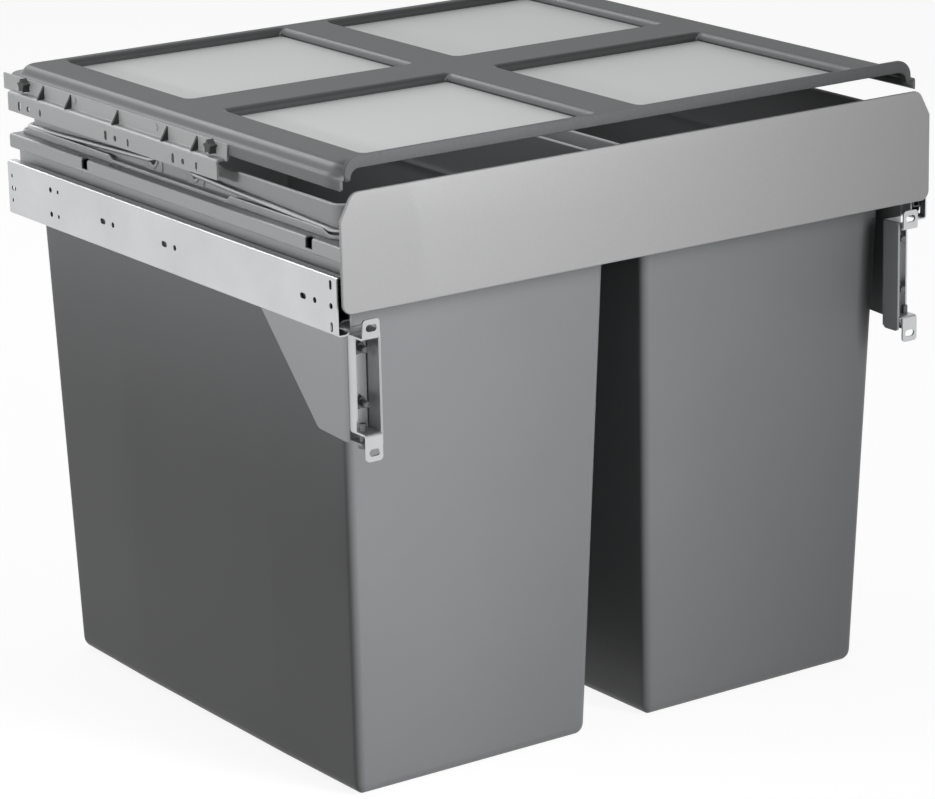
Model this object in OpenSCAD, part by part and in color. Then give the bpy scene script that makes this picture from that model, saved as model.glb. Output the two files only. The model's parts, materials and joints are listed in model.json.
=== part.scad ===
// Pull-out bin frame for a base cabinet: two tubs hang in a drawer frame on ball-bearing slides,
// under a lid that stays in the cabinet. All sizes are in millimetres.
//
// Every module draws in the slide frame: x to the right from the centre line, y back from the front
// ends of the cabinet rails, z up from the top edge of the cabinet rails. at_origin() then moves that
// frame so that the part's origin is centred under it, on the level of the tubs' bottoms.

/* [Cabinet] */
// Clear width between the cabinet's sides
cabinet_w = 568; // [540:1:640]

/* [Slides] */
// Length of the slides
rail_len = 500; // [460:1:560]
// Height of the cabinet rail
rail_h = 45; // [43:0.5:52]
// Sheet thickness of the rails
rail_t = 1.2; // [1:0.1:1.3]
// Thickness of the whole slide
slide_t = 12.7; // [12.4:0.1:14]
// Ball diameter
ball_d = 4; // [3.6:0.1:4.2]
// Running clearance of a ball in its track
ball_gap = 0.05; // [0.02:0.01:0.1]
// Distance between balls in a cage
ball_pitch = 30; // [24:1:36]
// Balls in each row of a cage
ball_count = 8; // [4:1:8]
// Sheet thickness of a ball cage
cage_t = 0.4; // [0.3:0.05:0.5]
// Diameter of the round screw holes in the cabinet rail
rail_hole_d = 4.5; // [3.5:0.1:5.5]
// Length of the screw slots in the cabinet rail
rail_slot_len = 8; // [6:0.5:11]
// Distance from a screw slot to the round hole in front of it
rail_slot_step = 16; // [12:0.5:22]
// Distance of the front screw hole from the front of the rail
rail_hole_1 = 30; // [24:1:60]
// Distance of the middle screw hole from the front of the rail
rail_hole_2 = 231; // [180:1:280]
// Distance of the rear screw hole from the front of the rail
rail_hole_3 = 327; // [310:1:370]
// Inside bend radius of the rails
rail_bend = 1; // [0.6:0.1:1.4]
// Angle by which the cabinet rail's edges curl round the balls
curl_out = 75; // [50:1:80]
// Angle by which the middle and drawer rails' edges curl round the balls
curl_in = 55; // [35:1:60]

/* [Drawer frame] */
// Sheet thickness of the frame
frame_t = 1.5; // [1.2:0.1:2]
// Height of the bin ledge above the cabinet rail
ledge_z = 22; // [18:0.5:30]
// Height of the folded box under the ledge
ledge_h = 12.2; // [9:0.1:15]
// Gap between the ledge's outer face and the cabinet's side
ledge_gap = 4; // [2:0.5:6]
// Depth of the frame's web below the top of the cabinet rail
web_drop = 42; // [38:0.5:44]
// Width of the locating notches in the ledge
notch_w = 9; // [6:0.5:14]
// Distance of the front notch from the front of the rails
notch_front = 42; // [30:1:80]
// Distance of the rear notch from the front notch
notch_span = 334; // [250:1:360]
// Half of the width of the centre rail
centre_half = 12.3; // [9:0.1:16]
// Diameter of the slide rivets
rivet_d = 5; // [4:0.1:6]
// Distance of the front rivet from the rear of the rails
rivet_1 = 300; // [260:1:340]
// Distance of the middle rivet from the rear of the rails
rivet_2 = 180; // [140:1:220]
// Distance of the rear rivet from the rear of the rails
rivet_3 = 50; // [30:1:80]
// Inside bend radius of the frame's folded sheets
frame_bend = 0.8; // [0.5:0.1:1.2]

/* [Front panel] */
// Gap between the panel's ends and the cabinet's sides
panel_gap = 2; // [1:0.5:8]
// Height of the panel's top edge above the cabinet rail
panel_top = 63; // [55:0.5:64]
// Depth of the panel's bottom edge below the top of the cabinet rail
panel_drop = 28; // [20:0.5:30]
// Distance of the panel's face in front of the rails
panel_y = 5.6; // [5:0.1:7]
// Sheet thickness of the panel
panel_t = 1.2; // [1:0.1:1.5]
// Thickness of the panel with its folded edge
panel_edge_t = 3; // [2.4:0.1:3.6]
// Width of the chamfer on the top corners
panel_cut_w = 11; // [6:0.5:20]
// Height of the chamfer on the top corners
panel_cut_h = 20.5; // [12:0.5:30]
// Radius of the bottom corners
panel_r = 8; // [4:0.5:14]
// Radius between the top edge and its chamfers
panel_top_r = 9; // [4:0.5:12]
// Radius between the chamfers and the ends
panel_end_r = 4; // [2:0.5:8]
// Width of the folded hem round the panel's back
panel_hem = 10; // [6:0.5:14]

/* [Door brackets] */
// Depth of the gusset's lower edge below the top of the cabinet rail
gusset_drop = 131; // [118:1:150]
// Length of the gusset's top edge
gusset_len = 145; // [110:1:170]
// Length of the gusset's bottom edge
gusset_foot = 40; // [30:1:60]
// Sheet thickness of the gusset
gusset_t = 2; // [1.5:0.1:2.5]
// Inside bend radius of the gusset and its post
gusset_bend = 0.8; // [0.5:0.1:1]
// Width of the post that guides the door bracket
post_w = 19.8; // [18:0.2:26]
// Depth of the post's side flange
post_d = 20; // [16:0.5:21]
// Sheet thickness of the door bracket
hat_t = 1.5; // [1.2:0.1:2]
// Inside bend radius of the door bracket
hat_bend = 1.2; // [0.6:0.1:1.6]
// Height of the top of the door bracket's channel below the cabinet rail's top
hat_top = 47.5; // [44:0.5:50]
// Height of the door bracket's channel
hat_h = 75; // [64:0.5:78]
// Height of the upper tab
tab_up = 14.5; // [13:0.5:19]
// Height of the lower tab
tab_down = 19.5; // [16:0.5:28]
// Length of the slots in the tabs
tab_slot_len = 9.5; // [7:0.5:11]
// Width of the slots in the tabs
tab_slot_w = 5.5; // [4:0.1:6.5]
// Diameter of the clamp studs and the height screw
stud_d = 5; // [4:0.1:5.4]
// Distance between the clamp studs
stud_span = 42; // [34:0.5:46]
// Height travel of the door bracket, up and down
hat_travel = 3; // [2:0.5:4]

/* [Bins] */
// Depth of the bins' bottoms below the top of the cabinet rail
bin_drop = 431; // [300:1:520]
// Height of the bins' rims above the ledge
bin_rim = 25; // [22:0.5:27]
// Wall thickness of a bin
bin_wall = 2.5; // [2:0.1:3]
// Draft of a bin's side walls in degrees
draft_side = 1.74; // [0.5:0.05:2.5]
// Draft of a bin's front wall in degrees
draft_front = 2.5; // [0.5:0.05:3]
// Draft of a bin's rear wall in degrees
draft_rear = 1.35; // [0.5:0.05:3]
// Corner radius of a bin
bin_r = 7; // [5:0.5:14]
// Radius of a bin's lower edges
foot_r = 10; // [4:0.5:12]
// Step from a bin's tub out to its collar
collar_step = 3; // [2:0.1:4]
// Depth of the collar below the top of the cabinet rail
collar_drop = 5; // [3:0.5:10]
// Width of the lip round the collar
lip_w = 7; // [6.6:0.1:8]
// Thickness of the lip
lip_t = 3; // [2:0.1:4]
// Height of the lip's raised edge
lip_edge_h = 3.7; // [2:0.1:4.5]
// Length of the low stretch in the middle of the lip's raised edge
lip_low_len = 184; // [140:1:220]
// Length of the slope down to the low stretch
lip_slope = 15; // [6:0.5:24]
// Clearance between a collar and the frame round it
collar_gap = 2; // [1:0.1:3]

/* [Bails] */
// Wire diameter
wire_d = 4; // [3:0.1:4.2]
// Distance between the pivots of a bin's two bails
pivot_span = 63; // [45:1:90]
// Height of the pivots above the ledge
pivot_z = 13; // [11:0.5:14]
// Radial clearance of a bail's end in its hole
pivot_gap = 0.05; // [0.02:0.01:0.1]
// Bend radius at the bail's corners
bail_r = 12; // [8:0.5:13]
// Diameter of the round boss at a pivot
boss_d = 16; // [13:0.5:18]

/* [Lid] */
// Gap between the lid's skirt and the cabinet's side
lid_gap = 9; // [8:0.5:14]
// Height of the skirt's lower edge above the cabinet rail
lid_z = 62; // [60:0.5:70]
// Height of the skirt
skirt_h = 9.5; // [8:0.5:14]
// Height of the crown above the skirt
crown_h = 8.5; // [7:0.5:14]
// Width of the ledge between the skirt and the crown
lid_step = 11; // [8:0.5:16]
// Wall thickness of the lid
lid_t = 2.5; // [2:0.1:3]
// Distance of the lid's front edge behind the front of the rails
lid_front = 5; // [2:0.5:12]
// Distance of the lid's rear edge from the rear of the rails
lid_rear = -12; // [-14:0.5:12]
// Corner radius of the lid
lid_r = 14; // [8:0.5:24]
// Width of the bar between the left and right inlays
bar_x = 48; // [30:1:70]
// Width of the bar between the front and rear inlays
bar_y = 56; // [30:1:80]
// Width of the border beside the inlays, from the crown's edge
border_x = 32; // [18:0.5:50]
// Width of the border in front of the inlays
border_front = 33; // [18:0.5:50]
// Width of the border behind the inlays, from the crown's edge
border_rear = 20; // [8:0.5:30]
// Depth of the recesses down to the inlays
recess_d = 7; // [3:0.1:8]
// Height of the raised lip along the front edge, over the crown
lid_lip_h = 7; // [4:0.5:10]
// Thickness of the raised lip from front to back
lid_lip_t = 4; // [3:0.5:6]
// Thickness of the lip's two ends, seen from the front
lid_lip_w = 5; // [3.5:0.5:7]
// Radius of the lip's shoulders
lid_lip_r = 13; // [8:0.5:16]
// Thickness of an inlay
inlay_t = 2; // [1.5:0.1:3]
// Gap round an inlay
inlay_gap = 0.3; // [0.1:0.05:1]

/* [Lid brackets] */
// Sheet thickness of a lid bracket
bracket_t = 1.8; // [1.2:0.1:2]
// Height of a bracket's lower flange
flange_low = 16; // [12:0.5:18]
// Height of a bracket's upper flange
flange_up = 11.5; // [9:0.5:13]
// Distance of the lower flange's front end behind the front of the rails
bracket_front = 163; // [100:1:175]
// Distance of the lower flange's rear end from the rear of the rails
bracket_rear = 7; // [0:1:30]
// Length by which the upper flange passes the lower one at the rear
bracket_tail = 19; // [5:0.5:24]
// Inside bend radius of a lid bracket
bracket_bend = 0.8; // [0.5:0.1:1.2]
// Diameter of the round screw holes in a lid bracket
bracket_hole_d = 4.6; // [3.5:0.1:5.5]
// Distance of the front screw hole from the lower flange's rear end
bracket_hole_1 = 280; // [230:1:290]
// Distance of the middle screw hole from the lower flange's rear end
bracket_hole_2 = 176; // [140:1:200]
// Distance of the rear screw hole from the lower flange's rear end
bracket_hole_3 = 34; // [28:1:60]
// Distance from the rear star knob to the front one
knob_span = 294; // [200:1:300]
// Diameter of a star knob over its points
knob_d = 12; // [10:0.5:12.5]
// Diameter of a star knob's screw
knob_screw_d = 5; // [4:0.1:6]

/* [Hidden] */
$fn = 48;
LEFT = -1;
RIGHT = 1;
FRONT = -1;
REAR = 1;
// Overlap that lets cuts pass cleanly through a face
eps = 1;
// Clearance of a fixed pin in its hole, and between faces that only just clear each other
pin_gap = 0.05;
face_gap = 0.2;

// Colours
zinc = [0.80, 0.81, 0.82];
steel = [0.72, 0.73, 0.74];
paint = [0.60, 0.61, 0.62];
paint_light = [0.70, 0.71, 0.71];
tub_grey = [0.40, 0.41, 0.42];
lid_grey = [0.47, 0.48, 0.49];
inlay_grey = [0.75, 0.76, 0.76];
black = [0.08, 0.08, 0.08];

// Across the width: faces of the slide, the frame's web and the ledge
half_w = cabinet_w / 2;
web_out = half_w - slide_t;
web_in = web_out - frame_t;
ledge_out = half_w - ledge_gap;

// Across the width: a bin's collar between the frame side and the centre rail
web_to_collar = 5.8;
collar_out = web_in - web_to_collar;
collar_in = centre_half + collar_gap;
bin_mid_x = (collar_out + collar_in) / 2;
collar_half = (collar_out - collar_in) / 2;
ledge_in = collar_out + collar_gap;

// Front to back: the panel's rear face, the frame's ends and the bins' collars
panel_back = panel_edge_t - panel_y;
frame_over = 1;
frame_rear = rail_len + frame_over;
front_rail_y = 4;
front_rail_d = 19.1;
collar_front = front_rail_y + front_rail_d + collar_gap;
collar_rear = frame_rear - lip_w;
collar_len = collar_rear - collar_front;
bin_mid_y = (collar_front + collar_rear) / 2;
rear_ledge_y = collar_rear + collar_gap;
box_z = ledge_z - ledge_h;
web_front = 3;
notch_d = 6;
notch_h = 8.5;
key_slot_len = 10;
key_slot_w = 2.5;
key_slot_in = 4.5;
key_slot_1 = 36;
key_slot_2 = 12;
panel_half = half_w - panel_gap;
panel_tab_z = 18;
panel_tab_y = 18;
cross_drop = 18;
rear_drop = 30;
rear_foot = 6;
centre_drop = 5;
rivet_head_h = 1.6;
rivet_tail_h = 1.2;
rivet_over = 0.5;

// Slide section: v is the height from the slide's middle line, u the depth in from the cabinet's side
mid_z = -rail_h / 2;
rail_play = 0.3;
v_cab_in = rail_h / 2 - rail_t;
v_outer_ball = v_cab_in - ball_gap - ball_d / 2;
v_mid_out = v_outer_ball - ball_gap - ball_d / 2;
v_mid_in = v_mid_out - rail_t;
v_inner_ball = v_mid_in - ball_gap - ball_d / 2;
v_drawer_out = v_inner_ball - ball_gap - ball_d / 2;
u_outer_cage = rail_t + rail_play;
u_mid = u_outer_cage + cage_t + rail_play;
u_inner_cage = u_mid + rail_t + rail_play;
ball_r = ball_d / 2 + ball_gap;
u_ball = round(100 * (u_inner_cage + cage_t + rail_play + (ball_r + rail_t) * sin(curl_in))) / 100;
u_cage_end = u_ball + ball_d / 2 + 2 * rail_play;
mid_inset = 6;
drawer_inset = 2;
cage_len = ball_pitch * ball_count;
cage_y = (rail_len - cage_len) / 2;
cage_hole_h = 3;
tip_hole_y = 8;
tip_slot_v = 16;
tip_slot_len = 7.4;
tip_slot_w = 3.4;
pair_hole_y = 72;
pair_hole_v = 10.2;
lance_w = 2.8;
lance_v = 10.3;
lance_y1 = 84;
lance_y2 = 7;
tail_slot_y = 9;
tail_slot_len = 7;
tail_slot_w = 4;

// Door bracket: the post's web, the bracket inside it and the tabs in front of the panel
post_y = 13;
post_in = web_in - post_w;
post_top = 43;
hat_out = web_in - gusset_t - face_gap;
hat_play = 0.8;
hat_in = post_in + gusset_t + hat_play;
gusset_low = 2;
gusset_toe = 1.5;
gusset_toe_z = 3.2;
gusset_top = web_drop / 2 + 1;
flange_r = 3;
lug_w = 9;
lug_reach = 5;
hat_side_d = 8.8;
hat_back = post_y - face_gap;
tab_front = panel_y + 2.9;
tab_r = 3;
tab_slot_in = 6.8;
stud_x = (hat_out + hat_in) / 2;
stud_z1 = hat_top + 11;
stud_z2 = stud_z1 + stud_span;
stud_len = 13;
nut_w = 8;
nut_h = 4.5;
lug_z = hat_top + hat_h + hat_travel + 3.5;
lug_t = 1.5;
screw_x = hat_out - 4.2;
screw_y = 2;
screw_head_d = 8.4;
screw_head_h = 2.8;

// Bin: heights from the slide frame and the tub's sides at its bottom
rim_z = ledge_z + bin_rim;
tub_h = bin_drop - collar_drop;
slope_side = tan(draft_side);
slope_front = tan(draft_front);
slope_rear = tan(draft_rear);
upstand_t = 1.5;
edge_in = 2;
lip_r = 10;
pad_drop = 2;
wire_r = wire_d / 2;
wire_off = lip_w - upstand_t - wire_r - 0.3;
pad_half = 13.3;
pad_t = 0.8;
boss_raise = wire_off - wire_r - face_gap;
counterbore_d = 10;
counterbore_h = 1;
inner_boss_h = 1.5;

// Bail: arm length, drop over the arm and the turn that lays its cross wire on the lip
gutter_z = lip_t;
bail_reach_rear = collar_rear + wire_off - (bin_mid_y + pivot_span / 2);
bail_drop = pivot_z - gutter_z - wire_r - face_gap;
bail_angle = asin(bail_drop / bail_reach_rear);
bail_half = collar_half + wire_off;
pin_bend = 4;
pin_len = wire_off + bin_wall + inner_boss_h + 0.5;

// Lid: levels and edges
ledge_lid_z = lid_z + skirt_h;
crown_z = ledge_lid_z + crown_h;
lid_half = half_w - lid_gap;
crown_half = lid_half - lid_step;
lid_rear_y = rail_len - lid_rear;
crown_rear_y = lid_rear_y - lid_step;
recess_x0 = bar_x / 2;
recess_x1 = crown_half - border_x;
recess_y0 = lid_front + border_front;
recess_y1 = crown_rear_y - border_rear;
recess_len = (recess_y1 - recess_y0 - bar_y) / 2;
inlay_z = crown_z - recess_d;
pan_t = 2;
recess_r = 3;
crown_round = 4.5;
crown_wall = 4.5;

// Lid bracket: flanges round the lid's skirt and the knobs between them
up_in = lid_half;
up_out = up_in + bracket_t;
web_z = lid_z - 2.5;
up_top = web_z + flange_up;
tail_y = rail_len - bracket_rear + bracket_tail;
up_front_y = bracket_front - 4;
knob_z = web_z + knob_d / 2 + bracket_bend + 0.3;
knob_hub = 0.6;
knob_rear_y = rail_len - 28;
knob_head_t = half_w - up_out - 1.2;
knob_boss_d = knob_screw_d + 4;
knob_boss_len = 6;
wedge_t = 2;
wedge_in = 0.5;
bracket_slot_len = 8;
bracket_slot_w = 4;
bracket_slot_step = 15;
bracket_slit_len = 6;
bracket_slit_w = 3;
bracket_slit_step = 20;
bracket_hole_drop = 10;
stud_hole = 0.4;
pad_d = 6;
pad_h = 0.6;
pad_1 = 79;
pad_2 = 208;
wedge_1 = 56;
wedge_2 = 101;
wedge_3 = 177;
wedge_4 = 253;
wedge_5 = 298;

// Overall depth, for the origin
front_reach = tab_front;
mid_y = (tail_y - front_reach) / 2;

// Moves the slide frame to the part's origin
module at_origin() {
    translate([0, -mid_y, bin_drop]) children();
}

// Draws the right-hand piece, or its mirror image on the left
module on_side(side) {
    at_origin() mirror([side == LEFT ? 1 : 0, 0, 0]) children();
}

// Extrudes an x-z outline from y0 to y1
module along_y(y0, y1) {
    translate([0, y1, 0]) rotate([90, 0, 0]) linear_extrude(y1 - y0) children();
}

// Extrudes a y-z outline from x0 to x1
module along_x(x0, x1) {
    translate([x0, 0, 0]) rotate([90, 0, 90]) linear_extrude(x1 - x0) children();
}

// A box between two corners
module block(a, b) {
    translate(a) cube(b - a);
}

// A round bar along x, from x0 to x1
module bar_along_x(x0, x1, y, z, d) {
    translate([x0, y, z]) rotate([0, 90, 0]) cylinder(d = d, h = x1 - x0);
}

// A slot cutter along x, lying in y or standing in z
module slot_along_x(x0, x1, y, z, len, w, standing = false) {
    run = (len - w) / 2;
    a = standing ? w / 2 : run;
    b = standing ? run : w / 2;
    for (s = [-1, 1]) bar_along_x(x0, x1, y + (standing ? 0 : s * run), z + (standing ? s * run : 0), w);
    block([x0, y - a, z - b], [x1, y + a, z + b]);
}

// A rectangle with round corners
module round_rect(x0, y0, x1, y1, r) {
    union() {
        translate([x0 + r, y0]) square([x1 - x0 - 2 * r, y1 - y0]);
        translate([x0, y0 + r]) square([x1 - x0, y1 - y0 - 2 * r]);
        for (x = [x0 + r, x1 - r], y = [y0 + r, y1 - r]) translate([x, y]) circle(r);
    }
}

// Unit vector, and the signed angle from one direction to the next
function unit(v) = v / norm(v);
function turn(a, b) = atan2(a[0] * b[1] - a[1] * b[0], a * b);

// A convex outline with a radius on each corner: the tangent points' polygon and a circle in each corner
module round_poly(pts, rs) {
    n = len(pts);
    corners = [for (i = [0 : n - 1])
        let (a = unit(pts[(i + n - 1) % n] - pts[i]),
            b = unit(pts[(i + 1) % n] - pts[i]),
            half = acos(a * b) / 2)
        [pts[i] + a * rs[i] / tan(half),
            pts[i] + b * rs[i] / tan(half),
            pts[i] + unit(a + b) * rs[i] / sin(half)]];
    union() {
        polygon([for (c = corners, j = [0, 1]) c[j]]);
        for (i = [0 : n - 1]) translate(corners[i][2]) circle(rs[i]);
    }
}

// One bend of a sheet, from the origin along x and turning left by an angle
module bend(angle, r, t) {
    far = 2 * (r + t);
    translate([0, r + t / 2]) rotate(-90) intersection() {
        difference() {
            circle(r + t);
            circle(r);
        }
        polygon([[0, 0], [far, 0], far * [1, tan(angle / 2)], far * [cos(angle), sin(angle)]]);
    }
}

// A folded sheet's section: flat legs along the points of its middle line, and a true bend at each corner
module folded(pts, rs, t) {
    last = len(pts) - 1;
    heads = [for (i = [0 : last - 1]) unit(pts[i + 1] - pts[i])];
    turns = [for (i = [1 : last - 1]) turn(heads[i - 1], heads[i])];
    trims = [for (i = [0 : last]) i == 0 || i == last ? 0 : (rs[i - 1] + t / 2) * tan(abs(turns[i - 1]) / 2)];
    legs = [for (i = [0 : last - 1]) norm(pts[i + 1] - pts[i]) - trims[i] - trims[i + 1]];
    union() {
        for (i = [0 : last - 1]) if (legs[i] > pin_gap) translate(pts[i] + heads[i] * trims[i])
            rotate(atan2(heads[i][1], heads[i][0])) translate([0, -t / 2]) square([legs[i], t]);
        for (i = [1 : last - 1]) translate(pts[i] - heads[i - 1] * trims[i])
            rotate(atan2(heads[i - 1][1], heads[i - 1][0])) mirror([0, turns[i - 1] < 0 ? 1 : 0])
            bend(abs(turns[i - 1]), rs[i - 1], t);
    }
}

// One strip of a cage's section, mirrored to both edges of the rail
module strip(u0, u1, v0, v1) {
    for (s = [-1, 1]) translate([half_w - u1, mid_z + (s < 0 ? -v1 : v0)]) square([u1 - u0, v1 - v0]);
}

// A rail's section: a web at depth u, flanges at height v that run in the direction s, and edges that curl
// round the balls by an angle, towards the slide's middle line where it is positive
module rail_section(u, v, s, angle) {
    run = (ball_r + rail_t / 2) * tan(abs(angle) / 2);
    corner = [half_w - u_ball - s * run, v];
    tip = corner - run * [s * cos(angle), sin(angle)];
    for (edge = [0, 1]) translate([0, mid_z]) mirror([0, edge])
        folded([[half_w - u, -eps], [half_w - u, v], corner, tip], [rail_bend, ball_r], rail_t);
}

// Slides

module cabinet_rail() {
    x0 = half_w - rail_t - eps;
    x1 = half_w + eps;
    half = lance_w / 2;
    color(zinc) difference() {
        along_y(0, rail_len) rail_section(rail_t / 2, v_cab_in + rail_t / 2, 1, curl_out);
        for (y = [rail_hole_1, rail_hole_2, rail_hole_3]) {
            bar_along_x(x0, x1, y, mid_z, rail_hole_d);
            slot_along_x(x0, x1, y + rail_slot_step, mid_z, rail_slot_len, rail_hole_d);
        }
        bar_along_x(x0, x1, tip_hole_y, mid_z, rail_hole_d);
        for (s = [-1, 1]) {
            slot_along_x(x0, x1, tip_hole_y, mid_z + s * tip_slot_v, tip_slot_len, tip_slot_w, true);
            bar_along_x(x0, x1, rail_len - pair_hole_y, mid_z + s * pair_hole_v, rail_hole_d);
            for (y = [rail_len - lance_y1, rail_len - lance_y2])
                block([x0, y - half, mid_z + s * lance_v - half], [x1, y + half, mid_z + s * lance_v + half]);
        }
        slot_along_x(x0, x1, rail_len - tail_slot_y, mid_z, tail_slot_len, tail_slot_w);
    }
}

module middle_rail() {
    color(steel) along_y(mid_inset, rail_len - mid_inset)
        rail_section(u_mid + rail_t / 2, v_mid_out - rail_t / 2, 1, -curl_in);
}

module drawer_rail() {
    color(zinc) difference() {
        along_y(drawer_inset, rail_len - drawer_inset)
            rail_section(slide_t - rail_t / 2, v_drawer_out - rail_t / 2, -1, -curl_in);
        rivet_holes();
    }
}

// A folded strip with a row of balls in each edge
module ball_cage(u_web, v_ball) {
    spots = [for (s = [-1, 1], i = [0 : ball_count - 1])
        [half_w - u_ball, cage_y + ball_pitch * (i + 0.5), mid_z + s * v_ball]];
    color(steel) difference() {
        along_y(cage_y, cage_y + cage_len) {
            strip(u_web, u_web + cage_t, 0, v_ball + cage_t / 2);
            strip(u_web, u_cage_end, v_ball - cage_t / 2, v_ball + cage_t / 2);
        }
        for (p = spots) translate(p) cylinder(d = ball_d + 4 * pin_gap, h = cage_hole_h, center = true);
    }
    color(zinc) for (p = spots) translate(p) sphere(d = ball_d);
}

module outer_ball_cage() {
    ball_cage(u_outer_cage, v_outer_ball);
}

module inner_ball_cage() {
    ball_cage(u_inner_cage, v_inner_ball);
}

// Where the drawer rail is riveted to the frame's web
function rivet_ys() = [rail_len - rivet_1, rail_len - rivet_2, rail_len - rivet_3];

module rivet_holes() {
    for (y = rivet_ys()) bar_along_x(web_in - eps, web_out + rail_t + eps, y, mid_z, rivet_d + 2 * pin_gap);
}

module slide_rivets() {
    color(steel) for (y = rivet_ys()) {
        bar_along_x(web_in - rivet_over, web_out + rail_t + rivet_over, y, mid_z, rivet_d);
        translate([web_in, y, mid_z]) rotate([0, -90, 0])
            cylinder(d1 = 1.8 * rivet_d, d2 = 1.1 * rivet_d, h = rivet_head_h);
        translate([web_out + rail_t, y, mid_z]) rotate([0, 90, 0])
            cylinder(d1 = 1.6 * rivet_d, d2 = rivet_d, h = rivet_tail_h);
    }
}

// Drawer frame

module frame_side() {
    web = web_in + frame_t / 2;
    shelf = box_z + frame_t / 2;
    wall = ledge_out - frame_t / 2;
    top = ledge_z - frame_t / 2;
    slots = notch_front + notch_span;
    color(paint) difference() {
        along_y(panel_back, frame_rear)
            folded([[web, -web_drop], [web, shelf], [wall, shelf], [wall, top], [ledge_in, top]],
                [frame_bend, frame_bend, frame_bend], frame_t);
        block([web_in - eps, panel_back - eps, -web_drop - eps], [web_out + eps, web_front, box_z]);
        for (y = [notch_front, notch_front + notch_span])
            block([ledge_out - notch_d, y - notch_w / 2, ledge_z - notch_h],
                [ledge_out + eps, y + notch_w / 2, ledge_z + eps]);
        for (y = [slots - key_slot_1, slots + key_slot_2])
            block([ledge_out - key_slot_in - key_slot_w, y - key_slot_len / 2, ledge_z - frame_t - eps],
                [ledge_out - key_slot_in, y + key_slot_len / 2, ledge_z + eps]);
        rivet_holes();
    }
}

// The panel's outline in x and z, drawn in by a margin
module panel_outline(m) {
    half = panel_half - m;
    low = -panel_drop + m;
    high = panel_top - m;
    low_r = max(panel_r - m, frame_bend);
    end_r = max(panel_end_r - m, frame_bend);
    top_r = max(panel_top_r - m, frame_bend);
    round_poly([[-half, low], [half, low], [half, high - panel_cut_h], [half - panel_cut_w, high],
        [-half + panel_cut_w, high], [-half, high - panel_cut_h]],
        [low_r, low_r, end_r, top_r, top_r, end_r]);
}

module front_panel() {
    sheet_back = panel_t - panel_y;
    color(paint_light) at_origin() {
        along_y(-panel_y, sheet_back) panel_outline(0);
        along_y(sheet_back, panel_back) difference() {
            panel_outline(0);
            panel_outline(panel_hem);
        }
        for (side = [0, 1]) mirror([side, 0, 0])
            block([web_in - frame_t, sheet_back, -panel_tab_z],
                [web_in, front_rail_y + panel_tab_y, panel_tab_z]);
    }
}

// Cuts the ends of a cross rail back to the frame sides' ledges
module ledge_ends(y0, y1) {
    for (side = [0, 1]) mirror([side, 0, 0])
        block([ledge_in, y0 - eps, box_z], [half_w, y1 + eps, ledge_z + eps]);
}

module front_cross_rail() {
    end = web_in - frame_t;
    wall = front_rail_y + frame_t / 2;
    top = ledge_z - frame_t / 2;
    color(paint) at_origin() difference() {
        along_x(-end, end)
            folded([[wall, -cross_drop], [wall, top], [front_rail_y + front_rail_d, top]],
                [frame_bend], frame_t);
        ledge_ends(front_rail_y, front_rail_y + front_rail_d);
    }
}

module rear_cross_rail() {
    wall = frame_rear - frame_t / 2;
    top = ledge_z - frame_t / 2;
    foot = frame_t / 2 - rear_drop;
    color(paint) at_origin() difference() {
        along_x(-web_in, web_in)
            folded([[frame_rear - rear_foot, foot], [wall, foot], [wall, top], [rear_ledge_y, top]],
                [frame_bend, frame_bend], frame_t);
        ledge_ends(rear_ledge_y, frame_rear);
    }
}

module centre_rail() {
    side = centre_half - frame_t / 2;
    top = ledge_z - frame_t / 2;
    y0 = front_rail_y + frame_t;
    y1 = frame_rear - frame_t;
    low = ledge_z - frame_t - frame_bend;
    color(paint) at_origin() difference() {
        along_y(y0, y1) folded([[-side, -centre_drop], [-side, top], [side, top], [side, -centre_drop]],
            [frame_bend, frame_bend], frame_t);
        block([-centre_half - eps, y0 - eps, low],
            [centre_half + eps, front_rail_y + front_rail_d, ledge_z + eps]);
        block([-centre_half - eps, rear_ledge_y, low], [centre_half + eps, y1 + eps, ledge_z + eps]);
    }
}

// Gussets and door brackets

module gusset() {
    foot = post_y + gusset_foot;
    plate_y = post_y + gusset_t + gusset_bend;
    inner = post_in + gusset_t / 2;
    outer = web_in - gusset_t / 2;
    mid = post_y + gusset_t / 2;
    color(paint) difference() {
        union() {
            along_x(web_in - gusset_t, web_in)
                polygon([[post_y, -gusset_top], [post_y + gusset_len, -gusset_top],
                    [foot + gusset_toe, -gusset_drop + gusset_toe_z],
                    [foot - gusset_toe, -gusset_drop + gusset_low],
                    [plate_y, -gusset_drop], [plate_y, -post_top], [post_y, -post_top]]);
            translate([0, 0, -gusset_drop]) linear_extrude(gusset_drop - post_top)
                folded([[inner, post_y - 2 * flange_r], [inner, mid], [outer, mid], [outer, plate_y + eps]],
                    [gusset_bend, gusset_bend], gusset_t);
            along_x(post_in, post_in + gusset_t)
                round_rect(post_y + gusset_t - post_d, -gusset_drop - gusset_low, post_y - gusset_bend,
                    -post_top, flange_r);
            block([hat_out - lug_w, screw_y - lug_reach, -lug_z - lug_t], [hat_out, post_y + eps, -lug_z]);
        }
        for (z = [stud_z1, stud_z2]) stud_bore(z, stud_d + 2 * pin_gap);
        translate([screw_x, screw_y, -lug_z - lug_t - eps])
            cylinder(d = stud_d + 2 * pin_gap, h = lug_t + 2 * eps);
    }
}

// A bore through the post's web
module stud_bore(z, d) {
    translate([stud_x, post_y - eps, -z]) rotate([-90, 0, 0]) cylinder(d = d, h = gusset_t + 2 * eps);
}

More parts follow.
